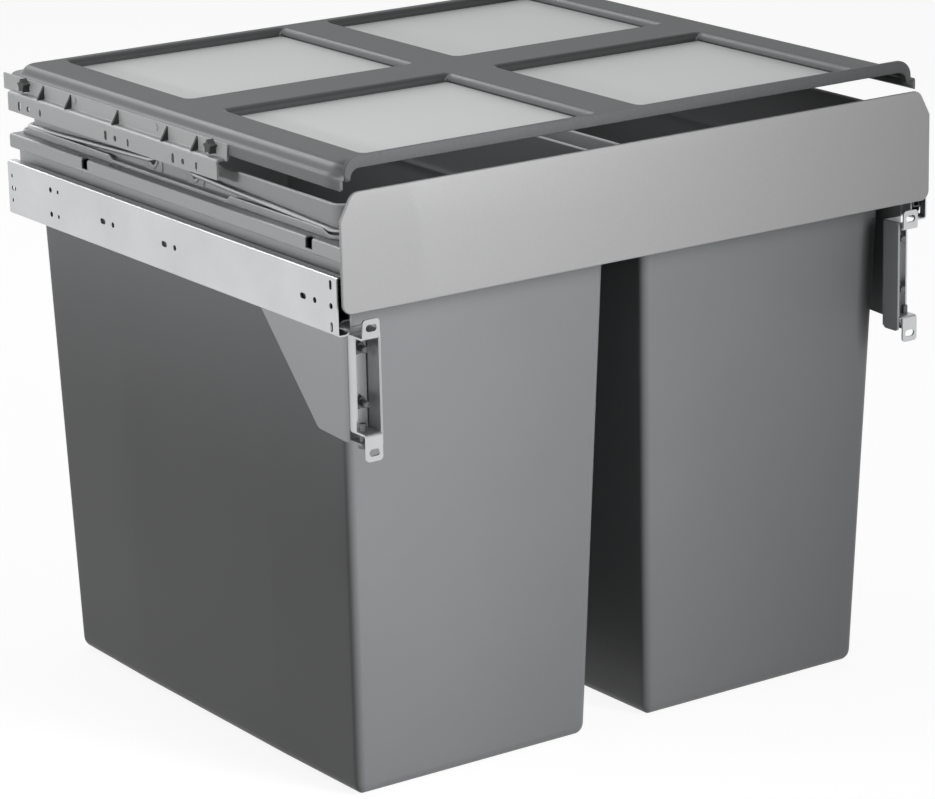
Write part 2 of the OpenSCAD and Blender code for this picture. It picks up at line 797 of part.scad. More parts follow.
module clamp_studs() {
    nut_back = hat_back - hat_t - pin_gap;
    color(steel) for (z = [stud_z1, stud_z2]) translate([stud_x, 0, -z]) rotate([-90, 0, 0]) {
        translate([0, 0, post_y - stud_len]) cylinder(d = stud_d, h = stud_len + gusset_t + 0.5);
        translate([0, 0, post_y + gusset_t]) cylinder(d = 1.7 * stud_d, h = 1.5);
        translate([0, 0, nut_back - nut_h]) linear_extrude(nut_h) circle(d = nut_w / cos(30), $fn = 6);
    }
}

module height_screw() {
    top = hat_top + hat_h - 8;
    low = lug_z + lug_t;
    color(steel) translate([screw_x, screw_y, 0]) {
        translate([0, 0, -low - 0.5]) cylinder(d = stud_d, h = low + 0.5 - top);
        difference() {
            translate([0, 0, -low - screw_head_h]) cylinder(d = screw_head_d, h = screw_head_h);
            translate([-0.6, -screw_head_d, -low - screw_head_h - eps])
                cube([1.2, 2 * screw_head_d, 1 + eps]);
        }
    }
}

module door_bracket() {
    low = hat_top + hat_h;
    front = hat_back - hat_t;
    face = hat_t / 2 - tab_front;
    web = hat_back - hat_t / 2;
    high_shelf = -hat_top - hat_t / 2;
    low_shelf = hat_t / 2 - low;
    up_slot = -hat_top + tab_up - tab_slot_in;
    low_slot = -low - tab_down + tab_slot_in;
    slot_d = stud_d + stud_hole;
    color(zinc) difference() {
        union() {
            intersection() {
                along_x(hat_in, hat_out)
                    folded([[face, -hat_top + tab_up], [face, high_shelf], [web, high_shelf],
                        [web, low_shelf], [face, low_shelf], [face, -low - tab_down]],
                        [hat_bend, hat_bend, hat_bend, hat_bend], hat_t);
                along_y(-tab_front - eps, hat_back + eps)
                    round_rect(hat_in, -low - tab_down, hat_out, -hat_top + tab_up, tab_r);
            }
            block([hat_out - hat_t, hat_back - hat_side_d, low_shelf],
                [hat_out, front + eps / 2, high_shelf]);
        }
        for (z = [stud_z1, stud_z2]) along_y(front - eps, hat_back + eps) {
            translate([stud_x - slot_d / 2, -z - hat_travel]) square([slot_d, 2 * hat_travel]);
            for (s = [-1, 1]) translate([stud_x, -z + s * hat_travel]) circle(d = slot_d);
        }
        for (z = [up_slot, low_slot]) along_y(-tab_front - eps, -tab_front + hat_t + eps) {
            run = (tab_slot_len - tab_slot_w) / 2;
            translate([stud_x - run, z - tab_slot_w / 2]) square([2 * run, tab_slot_w]);
            for (s = [-1, 1]) translate([stud_x + s * run, z]) circle(d = tab_slot_w);
        }
        translate([screw_x, screw_y, -low - eps]) cylinder(d = stud_d + 4 * pin_gap, h = hat_t + 2 * eps);
    }
}

// Bins: drawn about the bin's own middle, then set to the left or right

module in_bin(side) {
    at_origin() translate([side * bin_mid_x, 0, 0]) children();
}

// Four corner pegs of the tub's outline at height h above its bottom, drawn in by a margin
module tub_level(h, m) {
    up = tub_h - h;
    half = collar_half - collar_step - slope_side * up - m;
    y0 = collar_front + collar_step + slope_front * up + m;
    y1 = collar_rear - collar_step - slope_rear * up - m;
    r = max(bin_r - m, 1);
    for (x = [-half + r, half - r], y = [y0 + r, y1 - r])
        translate([x, y, h - bin_drop]) cylinder(r = r, h = 0.01, $fn = 32);
}

// The tub's solid with rounded lower edges, drawn in by a margin
module tub_solid(m, top) {
    r = foot_r - m;
    hull() {
        for (a = [0, 30, 60, 90]) tub_level(m + r * (1 - cos(a)), m + r * (1 - sin(a)));
        tub_level(top, m);
    }
}

// The collar's outline, grown by a margin
module collar_outline(m, r) {
    round_rect(-collar_half - m, collar_front - m, collar_half + m, collar_rear + m, r);
}

module bin_body() {
    collar_r = bin_r + collar_step;
    wall_in = collar_half - bin_wall;
    pivots = [bin_mid_y - pivot_span / 2, bin_mid_y + pivot_span / 2];
    pz = ledge_z + pivot_z;
    edge_x = collar_half + lip_w - upstand_t;
    edge_top = ledge_z + lip_t + lip_edge_h;
    color(tub_grey) difference() {
        union() {
            tub_solid(0, tub_h - 0.01);
            translate([0, 0, -collar_drop - bin_wall]) linear_extrude(bin_wall + collar_drop + rim_z)
                collar_outline(0, collar_r);
            translate([0, 0, ledge_z]) linear_extrude(lip_t) collar_outline(lip_w, lip_r);
            for (side = [0, 1], end = [0, 1]) mirror([side, 0, 0])
                translate([0, bin_mid_y, 0]) mirror([0, end, 0]) along_x(edge_x, edge_x + upstand_t)
                polygon([[lip_low_len / 2, ledge_z + lip_t / 2],
                    [collar_len / 2 - edge_in, ledge_z + lip_t / 2],
                    [collar_len / 2 - edge_in, edge_top], [lip_low_len / 2 + lip_slope, edge_top],
                    [lip_low_len / 2, ledge_z + lip_t]]);
            for (side = [0, 1], y = pivots) mirror([side, 0, 0]) {
                block([wall_in, y - pad_half, ledge_z],
                    [collar_half + pad_t, y + pad_half, rim_z - pad_drop]);
                bar_along_x(wall_in, collar_half + boss_raise, y, pz, boss_d);
            }
        }
        difference() {
            union() {
                tub_solid(bin_wall, tub_h + 0.5);
                translate([0, 0, -collar_drop]) linear_extrude(collar_drop + rim_z + eps)
                    collar_outline(-bin_wall, collar_r - bin_wall);
            }
            for (side = [0, 1], y = pivots) mirror([side, 0, 0])
                bar_along_x(wall_in - inner_boss_h, collar_half, y, pz, counterbore_d);
        }
        for (side = [0, 1], y = pivots) mirror([side, 0, 0]) {
            bar_along_x(wall_in - inner_boss_h - eps, collar_half + eps, y, pz, wire_d + 2 * pivot_gap);
            bar_along_x(collar_half - counterbore_h, collar_half + boss_raise + eps, y, pz, counterbore_d);
        }
    }
}

// A wire bail about its pivot line, reaching back along +y before it is turned down
module bail_wire() {
    reach = bail_reach_rear;
    for (side = [0, 1]) mirror([side, 0, 0]) {
        bar_along_x(bail_half - pin_len, bail_half - pin_bend, 0, 0, wire_d);
        translate([bail_half - pin_bend, pin_bend, 0]) rotate([0, 0, -90])
            rotate_extrude(angle = 90) translate([pin_bend, 0]) circle(d = wire_d);
        translate([bail_half, pin_bend, 0]) rotate([-90, 0, 0])
            cylinder(d = wire_d, h = reach - bail_r - pin_bend);
        translate([bail_half - bail_r, reach - bail_r, 0])
            rotate_extrude(angle = 90) translate([bail_r, 0]) circle(d = wire_d);
    }
    bar_along_x(-bail_half + bail_r, bail_half - bail_r, reach, 0, wire_d);
}

module bail(side, end) {
    color(steel) in_bin(side) translate([0, bin_mid_y + end * pivot_span / 2, ledge_z + pivot_z])
        mirror([0, end == FRONT ? 1 : 0, 0]) rotate([-bail_angle, 0, 0]) bail_wire();
}

// Lid and its brackets

// Four corner pegs of the crown's outline at height z, drawn in by a margin: square at the front
module crown_level(z, m) {
    peg = 0.5;
    for (side = [0, 1]) mirror([side, 0, 0]) {
        translate([crown_half - lid_r, crown_rear_y - lid_r, z - 0.01])
            cylinder(r = lid_r - m, h = 0.01, $fn = 32);
        translate([crown_half - m - peg, lid_front + 2 * peg, z - 0.01])
            cylinder(r = peg, h = 0.01, $fn = 16);
    }
}

// The raised lip along the front edge: an arch of sheet with round shoulders that ends on the ledge
module lid_lip() {
    foot = ledge_lid_z - lid_t;
    top = crown_z + lid_lip_h;
    low = foot - 2 * lid_lip_r;
    inner = crown_half - lid_lip_w;
    along_y(lid_front, lid_front + lid_lip_t) intersection() {
        difference() {
            round_rect(-crown_half, low, crown_half, top, lid_lip_r);
            round_rect(-inner, low, inner, crown_z - lid_t, lid_lip_r - lid_lip_w);
        }
        translate([-crown_half, foot]) square([2 * crown_half, top - foot]);
    }
}

// The lid's outline over its skirt: square at the front, round at the rear
module lid_outline(m) {
    union() {
        round_rect(-lid_half + m, lid_front + m, lid_half - m, lid_rear_y - m, lid_r - m);
        translate([-lid_half + m, lid_front]) square([2 * (lid_half - m), lid_r + m]);
    }
}

// The four recesses, drawn in by a margin and filled from z0 to z1
module recesses(m, z0, z1) {
    for (sx = [-1, 1], sy = [0, 1]) recess(sx, sy, m, z0, z1);
}

module recess(sx, sy, m, z0, z1) {
    x0 = sx < 0 ? -recess_x1 : recess_x0;
    y0 = recess_y0 + sy * (recess_len + bar_y);
    translate([0, 0, z0]) linear_extrude(z1 - z0)
        round_rect(x0 + m, y0 + m, x0 + recess_x1 - recess_x0 - m, y0 + recess_len - m, recess_r);
}

function knob_ys() = [knob_rear_y - knob_span, knob_rear_y];

module lid_frame() {
    floor_z = inlay_z - inlay_t;
    inner = crown_half - crown_wall;
    color(lid_grey) at_origin() difference() {
        union() {
            difference() {
                union() {
                    translate([0, 0, lid_z]) linear_extrude(skirt_h) lid_outline(0);
                    hull() {
                        crown_level(ledge_lid_z - lid_t / 2, 0);
                        crown_level(crown_z - crown_round, 1);
                        crown_level(crown_z - 0.4 * crown_round, 2.2);
                        crown_level(crown_z - 0.1 * crown_round, 3.8);
                        crown_level(crown_z, 6);
                    }
                }
                translate([0, 0, lid_z - eps]) linear_extrude(skirt_h - lid_t + eps) union() {
                    lid_outline(lid_t);
                    translate([-lid_half + lid_t, lid_front - eps]) square([2 * (lid_half - lid_t), lid_r]);
                }
                translate([0, 0, lid_z]) linear_extrude(crown_z - lid_t - lid_z) union() {
                    round_rect(-inner, lid_front, inner, crown_rear_y - crown_wall, lid_r - crown_wall);
                    translate([-inner, lid_front - eps]) square([2 * inner, lid_r]);
                }
            }
            lid_lip();
            recesses(-pan_t, floor_z - pan_t, crown_z - 1);
            for (side = [0, 1], y = knob_ys()) mirror([side, 0, 0])
                bar_along_x(lid_half - lid_t - knob_boss_len, lid_half - lid_t + eps, y, knob_z, knob_boss_d);
        }
        recesses(0, floor_z, crown_z + eps);
        for (side = [0, 1], y = knob_ys()) mirror([side, 0, 0])
            bar_along_x(lid_half - lid_t - knob_boss_len - eps, lid_half + eps, y, knob_z,
                knob_screw_d + 2 * pin_gap);
    }
}

module inlay(sx, sy) {
    color(inlay_grey) at_origin() recess(sx, sy, inlay_gap, inlay_z - inlay_t, inlay_z);
}

module lid_bracket() {
    rear = rail_len - bracket_rear;
    hole_z = web_z - bracket_hole_drop;
    low = web_z - flange_low;
    outer = half_w - bracket_t / 2;
    inner = up_in + bracket_t / 2;
    shelf = web_z - bracket_t / 2;
    x0 = half_w - bracket_t - eps;
    x1 = half_w + eps;
    color(paint_light) difference() {
        union() {
            along_y(up_front_y, tail_y)
                folded([[outer, low], [outer, shelf], [inner, shelf], [inner, up_top]],
                    [bracket_bend, bracket_bend], bracket_t);
            for (y = [knob_rear_y - pad_1, knob_rear_y - pad_2])
                bar_along_x(up_out - bracket_t / 2, up_out + pad_h, y, knob_z, pad_d);
        }
        block([up_out, up_front_y - eps, low - eps], [x1, bracket_front, up_top + eps]);
        block([up_out, rear, low - eps], [x1, tail_y + eps, up_top + eps]);
        for (y = [rear - bracket_hole_1, rear - bracket_hole_2, rear - bracket_hole_3]) {
            bar_along_x(x0, x1, y, hole_z, bracket_hole_d);
            slot_along_x(x0, x1, y + bracket_slot_step, hole_z, bracket_slot_len, bracket_slot_w, true);
            slot_along_x(x0, x1, y - bracket_slit_step, hole_z, bracket_slit_len, bracket_slit_w, true);
        }
        for (y = knob_ys()) bar_along_x(up_in - eps, up_out + eps, y, knob_z, knob_screw_d + stud_hole);
    }
}

module bracket_wedges() {
    edge = half_w - bracket_bend;
    color(black) for (d = [wedge_1, wedge_2, wedge_3, wedge_4, wedge_5])
        along_y(rail_len - d - wedge_t / 2, rail_len - d + wedge_t / 2)
            polygon([[up_out + bracket_bend, web_z], [edge, web_z], [up_out, up_top - wedge_in],
                [up_out, web_z + bracket_bend]]);
}

module star_knob(end) {
    y = end == FRONT ? knob_rear_y - knob_span : knob_rear_y;
    r = knob_d / 2;
    color(black) translate([0, y, knob_z]) {
        bar_along_x(lid_half - lid_t - knob_boss_len + rivet_over, up_out + eps, 0, 0, knob_screw_d);
        translate([up_out + pin_gap, 0, 0]) rotate([90, 0, 90]) linear_extrude(knob_head_t) union() {
            circle(r = knob_hub * r);
            polygon([for (i = [0 : 9])
                (i % 2 == 0 ? r : knob_hub * r) * [cos(36 * i + 90), sin(36 * i + 90)]]);
        }
    }
}

on_side(LEFT) cabinet_rail();  // cabinet_rail_left
on_side(RIGHT) cabinet_rail();  // cabinet_rail_right
on_side(LEFT) middle_rail();  // middle_rail_left
on_side(RIGHT) middle_rail();  // middle_rail_right
on_side(LEFT) drawer_rail();  // drawer_rail_left
on_side(RIGHT) drawer_rail();  // drawer_rail_right
on_side(LEFT) outer_ball_cage();  // outer_ball_cage_left
on_side(RIGHT) outer_ball_cage();  // outer_ball_cage_right
on_side(LEFT) inner_ball_cage();  // inner_ball_cage_left
on_side(RIGHT) inner_ball_cage();  // inner_ball_cage_right
on_side(LEFT) slide_rivets();  // slide_rivets_left
on_side(RIGHT) slide_rivets();  // slide_rivets_right
on_side(LEFT) frame_side();  // frame_side_left
on_side(RIGHT) frame_side();  // frame_side_right
front_panel();
front_cross_rail();
rear_cross_rail();
centre_rail();
on_side(LEFT) gusset();  // gusset_left
on_side(RIGHT) gusset();  // gusset_right
on_side(LEFT) door_bracket();  // door_bracket_left
on_side(RIGHT) door_bracket();  // door_bracket_right
on_side(LEFT) clamp_studs();  // clamp_studs_left
on_side(RIGHT) clamp_studs();  // clamp_studs_right
on_side(LEFT) height_screw();  // height_screw_left
on_side(RIGHT) height_screw();  // height_screw_right
in_bin(LEFT) bin_body();  // bin_left
in_bin(RIGHT) bin_body();  // bin_right
bail(LEFT, FRONT);  // front_bail_left
bail(LEFT, REAR);  // rear_bail_left
bail(RIGHT, FRONT);  // front_bail_right
bail(RIGHT, REAR);  // rear_bail_right
lid_frame();
inlay(-1, 0);  // inlay_front_left
inlay(1, 0);  // inlay_front_right
inlay(-1, 1);  // inlay_rear_left
inlay(1, 1);  // inlay_rear_right
on_side(LEFT) lid_bracket();  // lid_bracket_left
on_side(RIGHT) lid_bracket();  // lid_bracket_right
on_side(LEFT) bracket_wedges();  // bracket_wedges_left
on_side(RIGHT) bracket_wedges();  // bracket_wedges_right
on_side(LEFT) star_knob(FRONT);  // star_knob_front_left
on_side(LEFT) star_knob(REAR);  // star_knob_rear_left
on_side(RIGHT) star_knob(FRONT);  // star_knob_front_right
on_side(RIGHT) star_knob(REAR);  // star_knob_rear_right
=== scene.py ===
# %% [markdown]
# # A pull-out bin frame for a base cabinet
# Two tubs hang in a drawer frame on ball-bearing slides, under a lid that stays behind in the cabinet.
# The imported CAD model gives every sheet-metal piece its exact place. This lesson keeps those pieces, gives
# them their finishes, and adds new surfaces where a moulded or drawn shape needs softer curves than the
# solids have: the tubs, the lid, the front panel, the wire bails and the threaded studs.

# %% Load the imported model
import json
import math

import bpy
import numpy as np
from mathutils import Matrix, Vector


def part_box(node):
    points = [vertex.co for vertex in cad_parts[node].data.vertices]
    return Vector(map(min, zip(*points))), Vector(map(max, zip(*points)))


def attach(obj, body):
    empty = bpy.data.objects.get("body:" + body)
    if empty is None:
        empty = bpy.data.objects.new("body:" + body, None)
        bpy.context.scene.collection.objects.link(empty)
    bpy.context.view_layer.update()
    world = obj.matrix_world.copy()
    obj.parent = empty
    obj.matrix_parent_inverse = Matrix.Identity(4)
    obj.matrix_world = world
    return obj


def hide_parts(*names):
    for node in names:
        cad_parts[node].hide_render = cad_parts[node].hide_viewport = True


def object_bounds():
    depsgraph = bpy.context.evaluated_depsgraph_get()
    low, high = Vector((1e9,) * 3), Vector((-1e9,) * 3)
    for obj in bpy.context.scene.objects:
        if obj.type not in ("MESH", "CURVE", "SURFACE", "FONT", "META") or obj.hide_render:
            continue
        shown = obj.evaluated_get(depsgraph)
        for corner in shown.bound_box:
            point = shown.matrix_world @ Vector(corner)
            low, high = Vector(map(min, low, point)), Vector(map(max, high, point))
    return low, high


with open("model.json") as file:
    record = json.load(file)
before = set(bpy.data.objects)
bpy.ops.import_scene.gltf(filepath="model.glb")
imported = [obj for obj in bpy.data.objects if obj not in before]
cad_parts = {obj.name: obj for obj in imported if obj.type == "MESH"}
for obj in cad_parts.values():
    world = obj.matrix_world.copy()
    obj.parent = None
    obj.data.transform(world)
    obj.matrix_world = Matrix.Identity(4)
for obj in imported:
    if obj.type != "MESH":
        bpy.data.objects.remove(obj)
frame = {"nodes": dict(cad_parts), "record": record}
CAD_BOX = [list(map(float, corner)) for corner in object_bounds()]
NODES = frame["nodes"]

# %% [markdown]
# ## One frame for every number
# A drawer maker measures from the slides: x from the centre line, y back from the rails' front ends, z up
# from their top edge, in millimetres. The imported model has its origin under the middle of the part, in
# metres. One function turns the first into the second, so the numbers below can be read off a drawing.

# %% From the slide's millimetres to the model's metres
rail_low, rail_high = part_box("cabinet_rail_left")
SLIDE_ORIGIN = np.array([0.0, rail_low[1], rail_high[2]])


def metres(x, y, z):
    """Points of the slide frame in mm, as metres in the model's frame: a thousandth of each, and a shift."""
    x, y, z = np.broadcast_arrays(*(np.asarray(value, float) for value in (x, y, z)))
    return np.stack([x, y, z], -1) / 1000 + SLIDE_ORIGIN


print("slide frame starts at", np.round(SLIDE_ORIGIN, 5).tolist())

# %% [markdown]
# ## Surfaces from grids
# Every new piece is a grid of points worked out at once with numpy: one direction runs along a profile, the
# other along a path. Box modelling would need each edge loop placed by hand. The faces of a grid are always
# the same, so one function lists them, and closes the grid where the path comes back to its start. Most
# pieces are tubes of rings, whose two ends are closed by one flat face each.

# %% Grid faces and meshes
def grid_faces(rows, columns, close_columns=False, start=0):
    """Four corners of each cell of a rows x columns grid of points, numbered row by row from start."""
    i = np.arange(rows - 1)[:, None]
    j = np.arange(columns if close_columns else columns - 1)[None, :]
    j2 = (j + 1) % columns
    corners = (i * columns + j, i * columns + j2, (i + 1) * columns + j2, (i + 1) * columns + j)
    return np.stack(np.broadcast_arrays(*corners), -1).reshape(-1, 4) + start


def shell(name, parts, caps=()):
    """One smooth mesh object from (points, faces) grids, with caps that list the points of flat end faces."""
    points = np.concatenate([grid.reshape(-1, 3) for grid, _ in parts])
    faces = np.concatenate([quads for _, quads in parts]).tolist() + [cap.tolist() for cap in caps]
    mesh = bpy.data.meshes.new(name)
    mesh.from_pydata(points.tolist(), [], faces)
    mesh.polygons.foreach_set("use_smooth", np.ones(len(mesh.polygons), bool))
    mesh.validate()
    mesh.update()
    made = bpy.data.objects.new(name, mesh)
    bpy.context.scene.collection.objects.link(made)
    return made


def turn_outwards(made):
    """Flips all faces if the signed volume, a third of the sum of centre times area normal, is negative."""
    mesh = made.data
    count = len(mesh.polygons)
    centres, normals, areas = np.empty(3 * count), np.empty(3 * count), np.empty(count)
    mesh.polygons.foreach_get("center", centres)
    mesh.polygons.foreach_get("normal", normals)
    mesh.polygons.foreach_get("area", areas)
    middle = centres.reshape(-1, 3) - centres.reshape(-1, 3).mean(0)
    volume = float(((middle * normals.reshape(-1, 3)).sum(1) * areas).sum() / 3)
    if volume < 0:
        mesh.flip_normals()
    return abs(volume)


def tubes(name, grids):
    """One mesh from grids whose rows are rings: each closes on itself, and flat faces close both ends."""
    parts, caps, start = [], [], 0
    for grid in grids:
        rows, columns = grid.shape[:2]
        first = np.arange(columns) + start
        parts.append((grid, grid_faces(rows, columns, close_columns=True, start=start)))
        caps += [first[::-1], first + (rows - 1) * columns]
        start += rows * columns
    made = shell(name, parts, caps)
    print(name, "holds", round(turn_outwards(made) * 1e6, 1), "cm3")
    return made


def finish_piece(made, body, materials, nodes=(), kinds=None):
    """Gives a piece its materials and its slot, lets it ride on a body and stand for CAD nodes.

    kinds holds one number for each face: which of the materials it shows."""
    for material in materials:
        made.data.materials.append(material)
    if kinds is not None:
        made.data.polygons.foreach_set("material_index", np.asarray(kinds, np.int32))
    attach(made, body)
    if nodes:
        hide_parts(*nodes)
    print(made.name, len(made.data.polygons), "faces on", body)


print("grid helpers ready")

# %% [markdown]
# ## Colour and nodes
# Colours are written as the sRGB hex values that a colour picker reads from a photograph, and one function
# makes them linear, which is what a shader mixes. One more function adds a node with its settings and its
# links. Every finish here has the same three things to vary, colour, roughness and relief, so the last
# function joins three patterns to a shader, and a material then reads as a short list of patterns.

# %% Helpers for materials
def linear(code):
    """sRGB hex to linear: below 0.04045 a straight line, above it a power of 2.4."""
    srgb = np.array([int(code[i:i + 2], 16) for i in (1, 3, 5)]) / 255
    value = np.where(srgb <= 0.04045, srgb / 12.92, ((srgb + 0.055) / 1.055) ** 2.4)
    return (*value.tolist(), 1.0)


def add(tree, kind, sets=None, links=None, **settings):
    """Adds one node: settings are its properties, sets its socket values, links its inputs."""
    made = tree.nodes.new(kind)
    for key, value in settings.items():
        setattr(made, key, value)
    for key, value in (sets or {}).items():
        made.inputs[key].default_value = value
    for key, source in (links or {}).items():
        tree.links.new(source, made.inputs[key])
    return made


def start_material(name, roughness, metallic=0.0):
    """A new material with one Principled shader, and the object's own coordinates in metres."""
    material = bpy.data.materials.new(name)
    material.use_nodes = True
    tree = material.node_tree
    tree.nodes.clear()
    shader = add(tree, "ShaderNodeBsdfPrincipled", {"Roughness": roughness, "Metallic": metallic})
    add(tree, "ShaderNodeOutputMaterial", links={"Surface": shader.outputs[0]})
    place = add(tree, "ShaderNodeTexCoord").outputs["Object"]
    return material, tree, shader, place


def join_patterns(tree, shader, tone, rough, bumps):
    """Colour mixed from two greys, roughness between two values, and a relief, each by its own pattern.

    tone is (pattern, dark, light), rough (pattern, least, most), bumps (pattern, strength, depth in mm)."""
    mixed = add(tree, "ShaderNodeMix", {"A": linear(tone[1]), "B": linear(tone[2])},
                {"Factor": tone[0].outputs["Fac"]}, data_type="RGBA")
    spread = add(tree, "ShaderNodeMapRange", {"To Min": rough[1], "To Max": rough[2]},
                 {"Value": rough[0].outputs["Fac"]})
    relief = add(tree, "ShaderNodeBump", {"Strength": bumps[1], "Distance": bumps[2] / 1000},
                 {"Height": bumps[0].outputs["Fac"]})
    tree.links.new(mixed.outputs["Result"], shader.inputs["Base Color"])
    tree.links.new(spread.outputs[0], shader.inputs["Roughness"])
    tree.links.new(relief.outputs[0], shader.inputs["Normal"])


def per_mm(size_mm):
    """Texture scale for a pattern whose features repeat about every size_mm millimetres."""
    return 1000.0 / size_mm


print("white is", linear("#ffffff")[:3])

# %% [markdown]
# ## Zinc-plated steel
# The cabinet rails, drawer rails and door brackets are rolled steel strip with a thin passivated zinc layer.
# The strip keeps faint streaks along its rolling direction, and the zinc clouds a little. An image of
# brushed metal would repeat along the rail, so both come from noise: wide clouds for the colour, and noise
# stretched along the slide for the roughness and the relief.

# %% Zinc-plated steel strip
CLOUD_MM, STREAK_STRETCH, STREAK_DEPTH = 60, 0.02, 0.05


def zinc_plated(name, dark, light, roughness, streak_mm, bump):
    """Metal whose colour drifts between two greys in soft clouds, with streaks stretched along y."""
    material, tree, shader, place = start_material(name, roughness, 1.0)
    clouds = add(tree, "ShaderNodeTexNoise", {"Scale": per_mm(CLOUD_MM), "Detail": 3.0}, {"Vector": place})
    along = add(tree, "ShaderNodeMapping", {"Scale": (1.0, STREAK_STRETCH, 1.0)}, {"Vector": place})
    streaks = add(tree, "ShaderNodeTexNoise", {"Scale": per_mm(streak_mm), "Detail": 4.0},
                  {"Vector": along.outputs[0]})
    join_patterns(tree, shader, (clouds, dark, light), (streaks, roughness - 0.06, roughness + 0.08),
                  (streaks, bump, STREAK_DEPTH))
    return material


# The streaks are drawn 1.5 mm wide, coarser than real rolling lines, so that they show at this distance.
ZINC = zinc_plated("zinc_plated_steel_strip", "#c2c4c6", "#dcdddd", 0.36, 1.5, 0.25)
# The door brackets are thicker strip, zinc-plated after bending, and a little darker.
BRACKET_ZINC = zinc_plated("zinc_plated_bracket_strip", "#c4c6c8", "#d6d7d8", 0.44, 1.5, 0.25)
# The inner members are painted a darker grey as painted shade inside the slide, so that the rail's slots read
# dark, and they are duller.
INNER_MEMBER_SHADE = zinc_plated("zinc_steel_strip_painted_shade", "#55575a", "#66686a", 0.5, 1.5, 0.25)
# Wire and fasteners are plated after drawing and tumbled, which leaves a fine matt shine.
BRIGHT = zinc_plated("bright_zinc_steel_wire", "#b4b6b8", "#c8cacb", 0.42, 1.2, 0.15)
# Screw threads and studs take a dark grey all over.
THREAD = zinc_plated("dark_chromated_screw_thread", "#5c5d5f", "#7c7d7f", 0.34, 1.0, 0.1)
print("made", ZINC.name, BRACKET_ZINC.name, INNER_MEMBER_SHADE.name, BRIGHT.name, THREAD.name)

# %% [markdown]
# ## Powder coat
# The drawer frame, its gussets, the front panel and the lid brackets are powder-coated in metallic greys. The
# powder melts into a satin film with a fine orange peel about a millimetre across, and the mica in it gives
# tiny changes of tone. Plain grey gloss would look like plastic. The film is a coating over metal, so it is
# partly metallic, with flecks for the mica, a fine relief for the peel and a slow drift in its gloss.

# %% Metallic powder coat
FLECK_MM, DRIFT_MM, PEEL_MM = 0.8, 90, 1.2
PEEL_BUMP, PEEL_DEPTH, GLOSS_DRIFT = 0.12, 0.08, 0.02


def powder_coat(name, dark, light, roughness, metallic):
    """A satin film: fleck noise between two greys, orange peel as bump, and slow drift in roughness."""
    material, tree, shader, place = start_material(name, roughness, metallic)
    fleck = add(tree, "ShaderNodeTexNoise", {"Scale": per_mm(FLECK_MM), "Detail": 2.0}, {"Vector": place})
    drift = add(tree, "ShaderNodeTexNoise", {"Scale": per_mm(DRIFT_MM), "Detail": 2.0}, {"Vector": place})
    peel = add(tree, "ShaderNodeTexNoise", {"Scale": per_mm(PEEL_MM), "Detail": 1.0}, {"Vector": place})
    join_patterns(tree, shader, (fleck, dark, light),
                  (drift, roughness - GLOSS_DRIFT, roughness + GLOSS_DRIFT), (peel, PEEL_BUMP, PEEL_DEPTH))
    return material


FRAME_COAT = powder_coat("powder_coated_frame_sheet", "#a2a4a5", "#aeb0b1", 0.42, 0.55)
PANEL_COAT = powder_coat("powder_coated_panel_sheet", "#9e9e9f", "#a8a8a9", 0.36, 0.36)
BRACKET_COAT = powder_coat("powder_coated_lid_bracket", "#b0b1b2", "#bebfc0", 0.44, 0.2)
print("made", FRAME_COAT.name, PANEL_COAT.name, BRACKET_COAT.name)

# %% [markdown]
# ## Moulded plastics
# The tubs are injection-moulded polypropylene: satin, almost without grain, with faint flow clouds. Their
# collars are painted a paler grey as painted light, and their top edges paler still as a painted highlight.
# The lid frame is ABS with a coarse spark-eroded grain that scatters light. Its round edges are polished and
# painted a lighter grey as a painted highlight, and its recess walls are smooth and painted darker as painted
# shade. The inlays are smooth pale panels. Knobs and wedges are dark nylon, and the same dark grey is painted
# round the bail holes as painted shade. All of these differ only in their greys, their gloss and the size and
# depth of their grain, so one function makes them.

# %% Polypropylene, grained ABS and nylon
GRAIN_BUMP = 0.6


def moulded(name, dark, light, roughness, cloud_mm, grain_mm, grain_depth):
    """Plastic with slow flow clouds between two greys and a moulded grain of bumps of one size."""
    material, tree, shader, place = start_material(name, roughness)
    clouds = add(tree, "ShaderNodeTexNoise", {"Scale": per_mm(cloud_mm), "Detail": 3.0}, {"Vector": place})
    grain = add(tree, "ShaderNodeTexNoise", {"Scale": per_mm(grain_mm), "Detail": 2.0}, {"Vector": place})
    join_patterns(tree, shader, (clouds, dark, light), (clouds, roughness - 0.04, roughness + 0.06),
                  (grain, GRAIN_BUMP, grain_depth))
    return material


TUB_PP = moulded("moulded_polypropylene_tub", "#7a7b7d", "#828385", 0.48, 120, 0.9, 0.02)
# Painted light: the collar is a paler grey than the tub, standing in for the light that falls on it.
TUB_COLLAR_PAINTED_LIGHT = moulded("polypropylene_collar_painted_light", "#a0a1a3", "#a8a9ab", 0.42, 120, 0.9, 0.01)
# Painted highlight: the rim and the lip's top edge are paler still, standing in for their highlight lines.
TUB_EDGE_PAINTED_HIGHLIGHT = moulded("polypropylene_edge_painted_highlight", "#d4d5d6", "#dcddde", 0.34, 120, 0.9, 0.004)
# The grain is drawn 1.5 mm across, coarser than the real one, so that it shows at this distance.
LID_ABS = moulded("grained_abs_lid", "#545657", "#606263", 0.6, 3.0, 1.5, 0.09)
# Painted highlight: the polished edges are a lighter grey than the grained top, standing in for their shine.
LID_RIM_PAINTED_HIGHLIGHT = moulded("polished_abs_lid_edge_painted_highlight", "#6e7071", "#747677", 0.4, 60, 2.0, 0.004)
# Painted shade: the recess walls are a darker grey, standing in for the shade in the pans.
LID_WALL_PAINTED_SHADE = moulded("smooth_abs_recess_wall_painted_shade", "#303132", "#38393a", 0.4, 20, 1.5, 0.01)
INLAY = moulded("smooth_inlay_panel", "#cbcdcd", "#d1d3d3", 0.36, 140, 6.0, 0.001)
